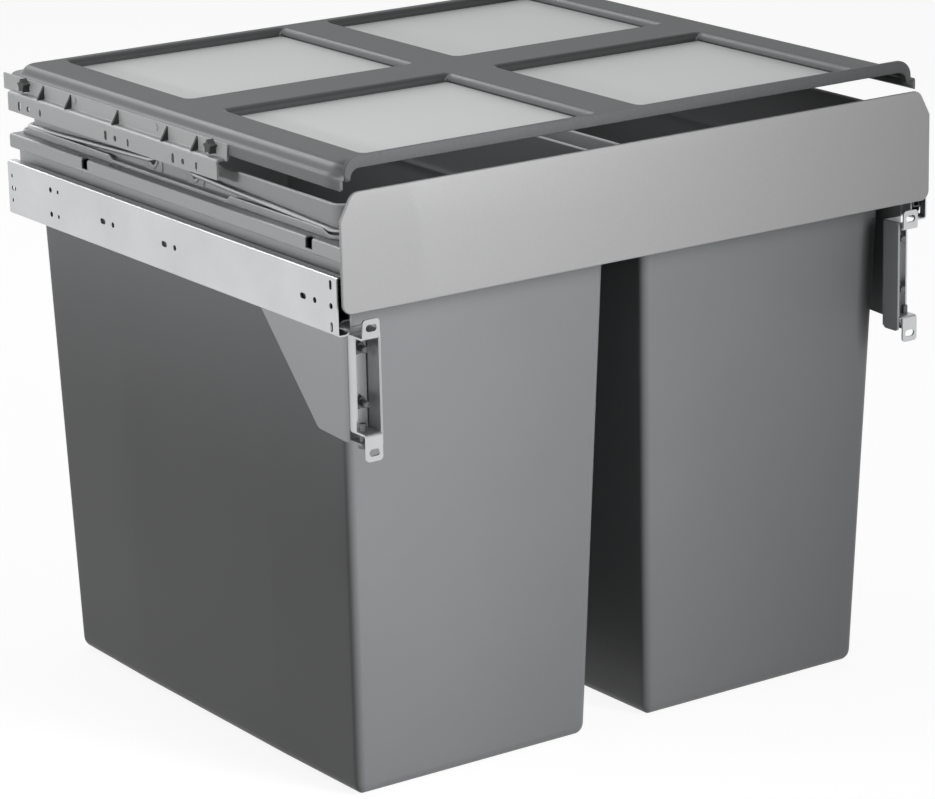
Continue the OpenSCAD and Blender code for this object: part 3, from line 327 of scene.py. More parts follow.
# Dark nylon for knobs and wedges; the same grey is painted in the rings round each bail hole as painted
# shade.
DARK_NYLON_AND_HOLE_SHADE = moulded("dark_moulded_nylon_and_painted_hole_shade", "#3a3b3c", "#424344", 0.5, 10, 1.0, 0.03)
print("made", TUB_PP.name, TUB_COLLAR_PAINTED_LIGHT.name, TUB_EDGE_PAINTED_HIGHLIGHT.name)
print("made", LID_ABS.name, LID_RIM_PAINTED_HIGHLIGHT.name, LID_WALL_PAINTED_SHADE.name, INLAY.name, DARK_NYLON_AND_HOLE_SHADE.name)

# %% [markdown]
# ## Finishes for the CAD pieces
# Sheet-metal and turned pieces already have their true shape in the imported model, so they only need their
# finish. The record says which slot a node takes, so a short table of slots does for most, and a second
# one names the pairs that look different from the rest of their slot.

# %% Dress the CAD nodes
SLOT_FINISH = {"galvanised": ZINC, "bright_steel": BRIGHT, "frame_paint": FRAME_COAT,
               "panel_paint": BRACKET_COAT, "bin_plastic": TUB_PP, "lid_plastic": LID_ABS,
               "inlay_plastic": INLAY, "black_plastic": DARK_NYLON_AND_HOLE_SHADE}
# Painted shade: the inner rails and ball cages take the darker strip.
PAIR_FINISH = {"middle_rail": INNER_MEMBER_SHADE, "drawer_rail": INNER_MEMBER_SHADE, "outer_ball_cage": INNER_MEMBER_SHADE,
               "inner_ball_cage": INNER_MEMBER_SHADE, "door_bracket": BRACKET_ZINC, "clamp_studs": THREAD,
               "height_screw": THREAD}
SIDES = (("left", -1), ("right", 1))
for part in frame["record"]["subparts"]:
    mesh = NODES[part["node"]].data
    mesh.materials.clear()
    mesh.materials.append(SLOT_FINISH[part["material_slot"]])
for name, finish in PAIR_FINISH.items():
    for side_name, _ in SIDES:
        NODES[f"{name}_{side_name}"].data.materials[0] = finish

# %% [markdown]
# ## Rounded rectangles as paths
# The tubs and the fixing tabs are drawn round rectangles whose corners change size from level to level.
# Here a path of such a shape is a list of corner signs and angles, worked out once. At each level the same
# list gives points from that level's half width, front, rear and radius, so levels always match up.

# %% A path round a rectangle
def round_path(corner_steps, side_shares=(), end_shares=()):
    """Corner signs, angles and edge shares of points round a rectangle, right side first, anticlockwise.

    A point is the corner's arc centre plus the radius times cosine and sine, moved along the straight edge by
    its share of that edge."""
    corners = ((1, 1, end_shares), (-1, 1, side_shares), (-1, -1, end_shares), (1, -1, side_shares))
    points = []
    for quarter, (sign_x, sign_y, shares) in enumerate(corners):
        turn = np.radians(90 * quarter) + np.linspace(0, np.pi / 2, corner_steps)
        angle = np.concatenate([turn, np.full(len(shares), turn[-1])])
        share = np.concatenate([np.zeros(corner_steps), shares])
        points.append(np.stack([np.full_like(angle, sign_x), np.full_like(angle, sign_y), angle, share]))
    return np.concatenate(points, 1)


def round_levels(path, half, front, rear, radius):
    """x and y of the path at each level, as arrays of levels x points."""
    sign_x, sign_y, angle, share = path
    half, front, rear, radius = (np.asarray(value, float)[:, None] for value in (half, front, rear, radius))
    flat_x, flat_y = 2 * (half - radius), rear - front - 2 * radius
    x = sign_x * (half - radius) + radius * np.cos(angle) - share * flat_x * np.sin(angle)
    y = np.where(sign_y > 0, rear - radius, front + radius)
    return x, y + radius * np.sin(angle) + share * flat_y * np.cos(angle)


print("a plain path has", round_path(5).shape[1], "points")

# %% [markdown]
# ## The tubs
# Each tub is one moulded shell: a tapered body with round lower edges, a collar a little wider than the body,
# a lip that hangs on the frame with a gutter for the bail, and a thin round-topped rim. Lofting boxes would
# leave hard edges, so the shell is one profile from the inside floor over the rim to the outside floor,
# carried round the rectangle. Each draft angle moves its own side in as the wall goes down. The lip's raised
# edge is the one part that changes along the path: it slopes away near the middle of each long side.

# %% Tub sizes
COLLAR_HALF, COLLAR_FRONT, COLLAR_REAR, COLLAR_CORNER = 124.85, 25.1, 494.0, 10.0
TUB_X, TUB_FLOOR, TUB_TOP, RIM_TOP = 139.15, -431.0, -5.0, 47.0
TUB_WALL, TUB_STEP, TUB_FOOT, LEAST_CORNER = 2.5, 3.0, 10.0, 1.0
DRAFT_SIDE, DRAFT_FRONT, DRAFT_REAR = np.tan(np.radians([1.74, 2.5, 1.35]))
INNER_LEVELS = (-416, -390, -330, -250, -170, -90, -40, -15, -8.5)
OUTER_LEVELS = (-8.4, -10, -25, -60, -120, -200, -280, -350, -400, -414)
# Inset from the collar and height: the step inside the mouth, then the collar's outside and the lip's top.
MOUTH = ((5.4, -6.2), (4.8, -5.2), (3.9, -4.6), (3.0, -3.9), (2.6, -3.0), (TUB_WALL, -1.8), (TUB_WALL, 8),
         (TUB_WALL, 40))
COLLAR = ((0, 43), (0, 30), (0, 26.4), (-0.3, 25.5), (-1.0, 25.05), (-2, 25), (-4.6, 25))
# The lip's raised edge, with a third number for its share of the rise.
LIP_EDGE = ((-5.3, 25, 0.02), (-5.5, 25.1, 0.1), (-5.5, 25, 0.82), (-5.75, 25, 0.96), (-6.25, 25, 1),
            (-6.75, 24.9, 0.98), (-7, 24.5, 0.93), (-7, 23.5, 0.3))
# Under the lip, down the collar, and in to the body.
UNDER_LIP = ((-7, 22.6), (-6.6, 22.05), (-5.6, 22), (-0.5, 22), (0, 21.6), (0, 20), (0, 5), (0, -4.5),
             (0, -6.4), (0.4, -7.2), (1.2, -7.5), (2.3, -7.7))
print("tub is", 2 * COLLAR_HALF, "mm wide and", COLLAR_REAR - COLLAR_FRONT, "mm long at its collar")

# %% [markdown]
# The profile is a list of levels. The painted light follows it: the rim and the lip's top edge are painted
# palest as a painted highlight, then the collar and the lip's face are painted paler as painted light. So one
# number for each ring of faces picks its material.

# %% The tub's profile and its bands of painted light
def foot_arc(radius, inset, floor, degrees):
    """Quarter circle at the foot: the inset grows by radius less sine, the height by radius less cosine."""
    turn = np.radians(degrees)
    return [(inset + radius * (1 - np.sin(a)), floor + radius * (1 - np.cos(a)), 1, 0) for a in turn]


def tub_profile():
    """Levels from the inside floor over the rim to the outside floor, as rows of four numbers.

    They are the inset from the collar, the height, 1 where the wall has draft, and the share of the rise."""
    down = np.linspace(0, 90, 7)
    inside, half = TUB_STEP + TUB_WALL, TUB_WALL / 2
    over = np.radians(np.linspace(180, 0, 9))
    rows = foot_arc(TUB_FOOT - TUB_WALL, inside, TUB_FLOOR + TUB_WALL, down)
    rows += [(inside, z, 1, 0) for z in INNER_LEVELS]
    rows += [(inset, z, 0, 0) for inset, z in MOUTH]
    rows += [(half - half * np.cos(a), RIM_TOP - half + half * np.sin(a), 0, 0) for a in over]
    rows += [(inset, z, 0, 0) for inset, z in COLLAR]
    rows += [(inset, z, 0, lift) for inset, z, lift in LIP_EDGE]
    rows += [(inset, z, 0, 0) for inset, z in UNDER_LIP]
    rows += [(TUB_STEP, z, 1, 0) for z in OUTER_LEVELS]
    rows += foot_arc(TUB_FOOT, TUB_STEP, TUB_FLOOR, down[::-1])
    return np.array(rows)


# Least height and inset of the collar's band of painted light, most inset of the lip's face, least share of
# its top edge's painted highlight.
PAINTED_LIGHT_LOW, PAINTED_LIGHT_INSET, LIP_FACE, HIGHLIGHT_SHARE = 26.0, -0.1, -6.9, 0.85


def tub_painted_light_bands(rows):
    """Finish of each ring of faces: 2, a painted highlight, on the rim and the lip's top edge, 1, painted
    light, on collar and lip, else 0.
    """
    inset, z, _, lift = (rows[1:].T + rows[:-1].T) / 2
    outer = np.arange(len(inset)) > np.argmax(rows[:, 1])
    collar = outer & (inset > PAINTED_LIGHT_INSET) & (z > PAINTED_LIGHT_LOW) | (inset < LIP_FACE)
    edge = (z > RIM_TOP - TUB_WALL / 2) | (lift > HIGHLIGHT_SHARE)
    return np.where(edge, 2, np.where(collar, 1, 0))


TUB_ROWS = tub_profile()
TUB_PAINTED_LIGHT_BAND = tub_painted_light_bands(TUB_ROWS)
print("tub profile has", len(TUB_ROWS), "levels from", TUB_ROWS[:, 1].min(), "to", TUB_ROWS[:, 1].max())

# %% [markdown]
# The long walls of a moulded tub are never quite flat. Here the middle of each long wall stands out by two
# millimetres between two faint upright creases and falls away to both ends, which changes the wall's tone.
# A bump map would lose this at the outline, so it is in the mesh. Every corner is an arc of the collar's
# corner less the inset, so the wall has one thickness all round.

# %% Build both tubs
CREASE_SHARE, CREASE_OUT = 0.25, 2.0
EDGE_H, EDGE_LOW, EDGE_SLOPE, LIP_RUN = 3.7, 87.5, 5.0, 462.9
# Shares of half a long side: denser at the crease and along the slope of the lip's edge.
RAMP_SHARES = 0.5 - (EDGE_LOW + np.linspace(-0.3, 1.3, 9) * EDGE_SLOPE) / LIP_RUN
HALF_SHARES = np.concatenate([np.linspace(0.02, 0.24, 12), [0.247, 0.25, 0.253], np.linspace(0.26, 0.285, 3),
                              RAMP_SHARES[::-1], np.linspace(0.33, 0.48, 6)])
SIDE_SHARES = np.concatenate([HALF_SHARES, [0.5], 1 - HALF_SHARES[::-1]])
TUB_PATH = round_path(13, SIDE_SHARES, np.linspace(0.05, 0.95, 9))
PIVOT_Y = (COLLAR_FRONT + COLLAR_REAR) / 2


def tub_points(side):
    """Loft of the profile round the rectangle; the raised edge is a ramp of the distance from mid length."""
    inset, z, draft, lift = TUB_ROWS.T
    depth = np.where(draft > 0, TUB_TOP - z, 0)
    radius = np.maximum(COLLAR_CORNER - np.maximum(inset, 0), LEAST_CORNER)
    x, y = round_levels(TUB_PATH, COLLAR_HALF - inset - DRAFT_SIDE * depth,
                        COLLAR_FRONT + inset + DRAFT_FRONT * depth,
                        COLLAR_REAR - inset - DRAFT_REAR * depth, radius)
    angle, share = TUB_PATH[2:]
    straight = (share > 0) & (np.abs(np.sin(angle)) < 1e-6)
    edge = EDGE_H * np.clip((np.abs(y - PIVOT_Y) - EDGE_LOW) / EDGE_SLOPE, 0, 1) * straight
    stand = CREASE_OUT * np.clip(np.minimum(share, 1 - share) / CREASE_SHARE, 0, 1)
    x = x + np.sign(x) * straight * draft[:, None] * stand
    return metres(x + side * TUB_X, y, z[:, None] + lift[:, None] * edge)


for side_name, side in SIDES:
    grid = tub_points(side)
    tub = tubes(f"tub_{side_name}", [grid])
    # Each ring of faces takes the tub's grey, the collar's painted light or the edges' painted highlight.
    kinds = np.concatenate([np.repeat(TUB_PAINTED_LIGHT_BAND, grid.shape[1]), [0, 0]])
    finish_piece(tub, f"{side_name}_bin", (TUB_PP, TUB_COLLAR_PAINTED_LIGHT, TUB_EDGE_PAINTED_HIGHLIGHT), [f"bin_{side_name}"],
                 kinds)

# %% [markdown]
# ## Pivot pads
# Each bail turns in two bosses moulded on a flat pad of the collar. A boss is turned work and a pad is
# square, and joining the two by a boolean leaves long thin faces. So the grid runs outwards in rings: circles
# from the hole over the counterbore and the raised ring, and then a blend from the circle to the pad's
# round-cornered rectangle. The rings round the hole are painted dark grey as painted shade in the
# counterbore, and the rest of the pad takes the collar's painted light.

# %% Pads with a ring boss and a hole
PIVOT_HALF, PIVOT_Z = 31.5, 35.0
PAD_HALF_Y, PAD_HALF_Z, PAD_POWER, PAD_STEPS = 13.3, 9.6, 8, 64
# Radius and height over the collar, from the hole out to the ring's foot.
BOSS_ROWS = np.array([(2.1, 0.02), (2.15, 0.12), (4.3, 0.14), (4.6, 0.3), (4.65, 1.3), (4.9, 1.75),
                      (5.3, 1.9), (7.0, 1.9), (7.4, 1.75), (7.7, 1.35), (7.8, 0.95), (8.4, 0.8)])
# Share of the way from the ring's foot to the pad's edge, and height.
PAD_ROWS = np.array([(0.5, 0.8), (0.94, 0.8), (0.985, 0.68), (1.0, 0.45), (1.0, -0.3)])
# Painted shade: the innermost rings round each hole take the dark grey.
HOLE_SHADE_ROWS = 4


def pad_points(side, wall, end):
    """Rings round the pivot: circles of the boss rows, then shares of the way out to a rounded rectangle.

    The rectangle is a superellipse of power 8, which is a rectangle with small round corners."""
    angle = np.linspace(0, 2 * np.pi, PAD_STEPS, endpoint=False)
    c, s = np.cos(angle), np.sin(angle)
    reach = (np.abs(c / PAD_HALF_Y) ** PAD_POWER + np.abs(s / PAD_HALF_Z) ** PAD_POWER) ** (-1 / PAD_POWER)
    circle = np.repeat(BOSS_ROWS[:, :1], PAD_STEPS, 1)
    blend = BOSS_ROWS[-1, 0] + PAD_ROWS[:, :1] * (reach - BOSS_ROWS[-1, 0])
    ring = np.concatenate([circle, blend])
    height = np.concatenate([BOSS_ROWS[:, 1:], PAD_ROWS[:, 1:]])
    return metres(side * TUB_X + wall * (COLLAR_HALF + height), PIVOT_Y + end * PIVOT_HALF + ring * c,
                  PIVOT_Z + ring * s)


for side_name, side in SIDES:
    parts = []
    for wall, end in ((-1, -1), (-1, 1), (1, -1), (1, 1)):
        grid = pad_points(side, wall, end)
        rows, columns = grid.shape[:2]
        quads = grid_faces(rows, columns, close_columns=True, start=len(parts) * rows * columns)
        parts.append((grid, quads if wall > 0 else quads[:, ::-1]))
    pads = shell(f"pivot_pads_{side_name}", parts)
    # The pad takes the collar's painted light, and the rings round the hole the dark grey as painted shade.
    hole_shade = np.tile(np.repeat(np.arange(rows - 1) < HOLE_SHADE_ROWS, columns), len(parts))
    finish_piece(pads, f"{side_name}_bin", (TUB_COLLAR_PAINTED_LIGHT, DARK_NYLON_AND_HOLE_SHADE), kinds=hole_shade)

# %% [markdown]
# ## Wire bails
# A bail is one length of drawn wire: a pin turned in at each end, a straight arm, a bend, and the cross wire
# that lies in the gutter of the lip. A curve with a round bevel would do, but its ends would be cut square.
# The bail is flat, so a tube is simple: the wire's circle stands on the path's own side direction and on the
# upright of the bail's plane, and it shrinks at both ends. Then the flat bail is laid down at its angle.

# %% The bail's path
WIRE_R, PIN_BEND, BAIL_BEND = 2.2, 4.0, 12.0
BAIL_HALF, PIN_IN, PIN_GAP, BEND_GAP = 128.05, 7.7, 0.5, 5.0
BAIL_REACH = COLLAR_REAR + 3.2 - (PIVOT_Y + PIVOT_HALF)
BAIL_TILT = math.asin(7.8 / BAIL_REACH)


def bail_path():
    """Half of the wire from its pin to the middle, then mirrored: straight runs and two quarter circles."""
    turn = np.linspace(0, np.pi / 2, 13)
    pin_x, bend_x, bend_y = BAIL_HALF - PIN_BEND, BAIL_HALF - BAIL_BEND, BAIL_REACH - BAIL_BEND
    pin = np.stack([np.linspace(BAIL_HALF - PIN_IN, pin_x - PIN_GAP, 3), np.zeros(3)], 1)
    first = np.stack([pin_x + PIN_BEND * np.sin(turn), PIN_BEND - PIN_BEND * np.cos(turn)], 1)
    arm = np.stack([np.full(10, BAIL_HALF), np.linspace(PIN_BEND + BEND_GAP, bend_y - BEND_GAP, 10)], 1)
    second = np.stack([bend_x + BAIL_BEND * np.cos(turn), bend_y + BAIL_BEND * np.sin(turn)], 1)
    cross = np.stack([np.linspace(bend_x - BEND_GAP, 0, 8), np.full(8, BAIL_REACH)], 1)
    half = np.concatenate([pin, first, arm, second, cross])
    return np.concatenate([half, half[-2::-1] * [-1, 1]])


print("bail path has", len(bail_path()), "points and reaches", round(BAIL_REACH, 1), "mm")

# %% [markdown]
# The tube's ends are two rings more at each end of the path: a little further out and a little smaller, as
# the tumbled end of a cut wire is. Each bail stands for its CAD node and rides on its own body.

# %% Four bails
TIP_OUT, TIP_SIZE = np.array([[0.5], [0.4]]), np.array([0.6, 0.9])


def bail_points(side, end):
    """Circle of the wire round each path point: cosine on the side direction, sine on the upright."""
    path = bail_path()
    ahead = np.gradient(path, axis=0)
    ahead /= np.linalg.norm(ahead, axis=1, keepdims=True)
    across = np.pad(np.stack([ahead[:, 1], -ahead[:, 0]], 1), ((2, 2), (0, 0)), mode="edge")
    swell = WIRE_R * np.concatenate([TIP_SIZE, np.ones(len(path)), TIP_SIZE[::-1]])[:, None]
    path = np.concatenate([path[:1] - TIP_OUT * ahead[:1], path, path[-1:] + TIP_OUT[::-1] * ahead[-1:]])
    turn = np.linspace(0, 2 * np.pi, 20, endpoint=False)
    x = path[:, :1] + swell * np.cos(turn) * across[:, :1]
    reach = path[:, 1:] + swell * np.cos(turn) * across[:, 1:]
    up = swell * np.sin(turn)
    y = reach * math.cos(BAIL_TILT) + up * math.sin(BAIL_TILT)
    z = up * math.cos(BAIL_TILT) - reach * math.sin(BAIL_TILT)
    return metres(side * TUB_X + x, PIVOT_Y + end * (PIVOT_HALF + y), PIVOT_Z + z)


for side_name, side in SIDES:
    for end_name, end in (("front", -1), ("rear", 1)):
        wire = tubes(f"bail_{end_name}_{side_name}", [bail_points(side, end)])
        finish_piece(wire, f"{side_name}_{end_name}_bail", [BRIGHT],
                     [f"{end_name}_bail_{side_name}"])

# %% [markdown]
# ## Front panel
# The drawer front carries a narrow sheet-metal panel with cut-off upper corners, a rolled edge and a folded
# hem behind it. A bevel on the solid would do for the edge, but a profile carried round the outline gives the
# roll its own radius and keeps the face one flat polygon. The outline is a polygon with an arc at each
# corner, worked out again for each inset, so the arcs shrink as they would on the real tool.

# %% A polygon with round corners
def round_polygon(corners, radii, inset, steps=9, least=0.8):
    """Points of a convex anticlockwise polygon moved in by inset, each corner an arc that touches both edges.

    The arc's centre lies on the corner's bisector, at the radius over the sine of half the corner's angle."""
    corners = np.asarray(corners, float)
    edge = np.roll(corners, -1, 0) - corners
    edge /= np.linalg.norm(edge, axis=1, keepdims=True)
    back = np.roll(edge, 1, 0)
    normal_out = np.stack([edge[:, 1], -edge[:, 0]], 1)
    normal_in = np.stack([back[:, 1], -back[:, 0]], 1)
    bisector = normal_out + normal_in
    bisector /= (1 + (normal_out * normal_in).sum(1))[:, None]
    radius = np.maximum(np.asarray(radii, float) - inset, least)
    centre = corners - bisector * (inset + radius)[:, None]
    first = np.arctan2(normal_in[:, 1], normal_in[:, 0])
    sweep = (np.arctan2(normal_out[:, 1], normal_out[:, 0]) - first) % (2 * np.pi)
    angle = first[:, None] + sweep[:, None] * np.linspace(0, 1, steps)
    ring = centre[:, None] + radius[:, None, None] * np.stack([np.cos(angle), np.sin(angle)], -1)
    return ring.reshape(-1, 2)


PANEL_HALF, PANEL_LOW, PANEL_HIGH, CUT_W, CUT_H = 282.0, -28.0, 63.0, 11.0, 20.5
CUT_X, CUT_Z = PANEL_HALF - CUT_W, PANEL_HIGH - CUT_H
PANEL_CORNERS = [(-PANEL_HALF, PANEL_LOW), (PANEL_HALF, PANEL_LOW), (PANEL_HALF, CUT_Z),
                 (CUT_X, PANEL_HIGH), (-CUT_X, PANEL_HIGH), (-PANEL_HALF, CUT_Z)]
PANEL_RADII = [8, 8, 4, 9, 9, 4]
print("panel outline has", len(round_polygon(PANEL_CORNERS, PANEL_RADII, 0)), "points")

# %% [markdown]
# The sheet's section is a short list of insets and depths: round the rolled edge, along the back of the hem
# and forward again to the sheet. One ring of the outline for each of them makes the panel. Two upright tabs
# behind it screw to the frame's sides; each is a rounded rectangle with a small round on its edges.

# %% The panel with its rolled edge, hem and fixing tabs
# Each row is an inset from the outline and a depth behind the rails' front ends.
PANEL_ROWS = [(1.2, -5.6), (0.74, -5.51), (0.35, -5.25), (0.09, -4.86), (0, -4.4), (0, -3.3), (0.09, -2.98),
              (0.3, -2.75), (0.7, -2.6), (9.6, -2.6), (9.9, -2.7), (10, -3.0), (10, -4.4)]
TAB_X, TAB_Y, TAB_HALF_Z, TAB_R, TAB_EDGE = (268.3, 269.8), (-4.4, 22.0), 18.0, 3.0, 0.4


def fixing_tab(x0, x1):
    """A flat tab across x: a rounded rectangle in z and y, its two faces drawn in by the edge's rounding."""
    inset = TAB_EDGE * np.array([1, 0.3, 0, 0, 0.3, 1])
    depth = np.array([x0, x0, x0, x1, x1, x1]) + TAB_EDGE * np.array([0, 0.3, 1, -1, -0.3, 0])
    z, y = round_levels(round_path(5), TAB_HALF_Z - inset, TAB_Y[0] + inset, TAB_Y[1] - inset, TAB_R - inset)
    return metres(depth[:, None], y, z)


rings = [(round_polygon(PANEL_CORNERS, PANEL_RADII, inset), depth) for inset, depth in PANEL_ROWS]
sheet = np.stack([metres(ring[:, 0], depth, ring[:, 1]) for ring, depth in rings])
panel = tubes("front_panel_sheet", [sheet, fixing_tab(*TAB_X), fixing_tab(-TAB_X[1], -TAB_X[0])])
finish_piece(panel, "drawer", [PANEL_COAT], ["front_panel"])

# %% [markdown]
# ## Screw threads
# The door brackets are clamped on studs and set in height by a screw. The solids have plain rods, because a
# thread is too fine for them. A thread could be an image of stripes, but seen close it needs its own outline:
# here the rod's radius rises and falls with the distance along it less the share of a turn, which is a helix.

# %% Threads on the studs and the height screws
# The real pitch is 0.8 mm; it is drawn twice as coarse so that the turns show in the picture.
PITCH, ROOT_R, CREST_R, TIP_R, TIP_FLARE = 1.6, 2.52, 2.66, 1.7, 1.2
STUD_X, STUD_Z, STUD_Y = 260.2, (-58.5, -100.5), (-0.4, 8.0)
SCREW_X, SCREW_Y, SCREW_Z = 263.4, 2.0, (-130.0, -114.2)
TURN_STEPS, PITCH_STEPS = 28, 10


def thread_points(length):
    """Two offsets and a distance along: the radius is a wave of distance over pitch less the turn."""
    turn = np.linspace(0, 2 * np.pi, TURN_STEPS, endpoint=False)
    along = np.linspace(0, length, int(PITCH_STEPS * length / PITCH))[:, None]
    wave = 0.5 + 0.5 * np.cos(2 * np.pi * along / PITCH - turn)
    radius = np.minimum(ROOT_R + (CREST_R - ROOT_R) * wave, TIP_R + TIP_FLARE * along)
    return radius * np.cos(turn), radius * np.sin(turn), along


for side_name, side in SIDES:
    across, up, along = thread_points(STUD_Y[1] - STUD_Y[0])
    rods = [metres(side * STUD_X + across, STUD_Y[0] + along, z + up) for z in STUD_Z]
    across, up, along = thread_points(SCREW_Z[1] - SCREW_Z[0])
    rods.append(metres(side * SCREW_X + across, SCREW_Y + up, SCREW_Z[1] - along))
    threads = tubes(f"screw_threads_{side_name}", rods)
    finish_piece(threads, "drawer", [THREAD])

# %% [markdown]
# ## The lid
# The lid is one moulding: a crowned top with four shallow pans, a round edge, a short riser, a ledge and a
# thin skirt. Pans cut out of a plate would have sharp rims. So the lid's middle is a height field, a grid
# over x and y whose lines crowd together at the pan edges, where the height follows the signed distance
# to a rounded rectangle.

# %% The height field with four pans
LID_FRONT, FIELD_FRONT, LID_TOP, PAN_FLOOR, PAN_ROLL = 5.0, 6.0, 80.0, 70.9, 5.5
PAN_X, PAN_Y, PAN_R = (24.0, 232.0), ((38.0, 231.5), (287.5, 481.0)), 3.5
FIELD_HALF, FIELD_REAR, FIELD_STEPS = 247.0, 488.0, 24
# Distances from a pan's edge at which a grid line runs, from the rolled rim inwards.
NEAR = np.array([-6.4, -5.5, -4.9, -4.3, -3.7, -3.1, -2.5, -1.9, -1.4, -0.9, -0.5, -0.2, 0.02, 0.15, 0.3, 0.5,
                 1.0, 1.7, 2.6, 3.5, 5.0])


def grid_lines(edges, ends):
    """Grid lines: crowded where a pan edge passes, going inwards from each edge, plus a few in between."""
    near = [edge + way * NEAR for edge, way in edges]
    return np.unique(np.round(np.concatenate([*near, np.linspace(*ends, FIELD_STEPS)]), 3))


def pan_depth(x, y):
    """Signed distance into the nearest pan: the smaller of the two edge distances, round in the corners."""
    deepest = np.full(x.shape, -np.inf)
    for y0, y1 in PAN_Y:
        dx = (PAN_X[1] - PAN_X[0]) / 2 - PAN_R - np.abs(np.abs(x) - sum(PAN_X) / 2)
        dy = (y1 - y0) / 2 - PAN_R - np.abs(y - (y0 + y1) / 2)
        corner = np.hypot(np.minimum(dx, 0), np.minimum(dy, 0))
        deepest = np.maximum(deepest, PAN_R - corner + np.maximum(0, np.minimum(dx, dy)))
    return deepest


def pan_height(d):
    """Height over the distance: a quarter circle outside the pan's edge, then a steep wall to its floor."""
    over = np.clip(d + PAN_ROLL, 0, PAN_ROLL)
    roll = LID_TOP - PAN_ROLL + np.sqrt(PAN_ROLL ** 2 - over ** 2)
    wall = np.interp(d, [0, 0.3, 0.5], [LID_TOP - PAN_ROLL, PAN_FLOOR + 0.3, PAN_FLOOR])
    return np.where(d < 0, roll, wall)


pan_sides = [(sign * edge, sign * way) for sign in (-1, 1) for edge, way in zip(PAN_X, (1, -1))]
pan_ends = [(edge, way) for ends in PAN_Y for edge, way in zip(ends, (1, -1))]
line_x = grid_lines(pan_sides, (-FIELD_HALF, FIELD_HALF))
line_y = grid_lines(pan_ends, (FIELD_FRONT, FIELD_REAR))
field_x, field_y = np.meshgrid(line_x, line_y)
field = metres(field_x, field_y, pan_height(pan_depth(field_x, field_y)))
print("lid field is", field.shape[:2])

# %% [markdown]
# Round the middle runs a band of profile rings along three sides, because the lid's front is open. The
# innermost ring is the middle's own border, so the two meet point for point, and the outer rings stretch the
# same points to their own length. A bevel could not change from the wide crown to the tight skirt like this.

# %% The band round the field: round edge, riser, ledge and skirt
CROWN_HALF, CROWN_REAR, SKIRT_HALF, SKIRT_REAR, LID_CORNER = 271.0, 501.0, 275.0, 512.0, 14.0
# Inset and height of each ring, over the crown and then down the skirt.
CROWN_EDGE = ((12, 80), (10.5, 79.93), (9, 79.72), (7.5, 79.4), (6, 78.9), (4.6, 78.3), (3.4, 77.5),
              (2.4, 76.6), (1.6, 75.6), (1, 74.6), (0.5, 73.6), (0, 72.8), (-0.6, 72.1), (-1.2, 71.7),
              (-1.7, 71.55))
SKIRT_EDGE = ((2, 71.5), (1.2, 71.35), (0.5, 70.95), (0, 70), (0, 68.5), (0, 63.2), (0.1, 62.5), (0.5, 62.1))
# Each row of the band is half width, front, rear, corner radius and height.
CROWN = [(CROWN_HALF - m, FIELD_FRONT, CROWN_REAR - m, LID_CORNER - m, z) for m, z in CROWN_EDGE]
SKIRT = [(SKIRT_HALF - m, LID_FRONT, SKIRT_REAR - m, LID_CORNER, z) for m, z in SKIRT_EDGE]
BAND_ROWS = np.array([(FIELD_HALF, FIELD_FRONT, FIELD_REAR, 0.0, LID_TOP), *CROWN, *SKIRT])


def band_points():
    """Rings of the rows along a U: up the right side, round the rear, down the left, on the field's lines.

    Side points keep the field's y, rear points its x; both are stretched to each ring's straight length."""
    half, front, rear, radius, z = BAND_ROWS.T[:, :, None]
    share = (line_y - FIELD_FRONT) / (FIELD_REAR - FIELD_FRONT)
    across = line_x[::-1] / FIELD_HALF
    turn = np.linspace(0, np.pi / 2, 13)[1:-1]
    c, s = radius * np.cos(turn), radius * np.sin(turn)
    side_y = front + share * (rear - radius - front)
    side_x, rear_y = half + 0 * side_y, rear + 0 * across
    x = np.concatenate([side_x, half - radius + c, across * (half - radius), radius - half - s, -side_x], 1)
    y = np.concatenate([side_y, rear - radius + s, rear_y, rear - radius + c, side_y[:, ::-1]], 1)
    return metres(x, y, z)


band = band_points()
print("lid band is", band.shape[:2])

# %% [markdown]
# Two grids become one lid when their shared border points are merged. Only the flat top is grained: the tool
# was polished on the round edges, the riser and the skirt, which are also painted a lighter grey as a painted
# highlight. The pan walls and the rolled rims behind each pan are smooth and painted darker as painted shade.
# So each face takes one of three materials, by its height and place.
# Solidify then gives the moulding its wall, inwards from the outside.

# %% One lid from field and band
TOP_MARGIN, GRAINED_RINGS, MERGE_AT, LID_THICK = 0.3, 5, 0.00001, 0.0025
field_quads = grid_faces(*field.shape[:2])
band_quads = grid_faces(*band.shape[:2], start=field.shape[0] * field.shape[1])[:, ::-1]
lid = shell("lid_moulding", [(field, field_quads), (band, band_quads)])
cell = (field.reshape(-1, 3)[field_quads].mean(1) - SLIDE_ORIGIN) * 1000
# Painted shade on the pan walls and on the rolls behind each pan, painted highlight on the other rolls and on
# the band below the grained rings.
rolls_in_painted_shade = np.any([np.abs(cell[:, 1] - y1 - PAN_ROLL / 2) < PAN_ROLL / 2 for _, y1 in PAN_Y], 0)
on_roll = np.where(cell[:, 2] > LID_TOP - PAN_ROLL, np.where(rolls_in_painted_shade, 1, 2), 1)
field_kind = np.where(cell[:, 2] > LID_TOP - TOP_MARGIN, 0, on_roll)
# The rings below the grained ones, the riser, ledge and skirt, take the painted highlight.
ring_kind = np.where(np.arange(len(BAND_ROWS) - 1) < GRAINED_RINGS, 0, 2)
lid_kinds = np.concatenate([field_kind, np.repeat(ring_kind, band.shape[1] - 1)])
finish_piece(lid, "cabinet_side", (LID_ABS, LID_WALL_PAINTED_SHADE, LID_RIM_PAINTED_HIGHLIGHT), ["lid_frame"], lid_kinds)
merge = lid.modifiers.new("merge_border", "WELD")
merge.merge_threshold = MERGE_AT
wall = lid.modifiers.new("wall", "SOLIDIFY")
wall.thickness = LID_THICK
wall.offset = -1
print("lid has", int((field_kind == 1).sum()), "smooth dark faces")

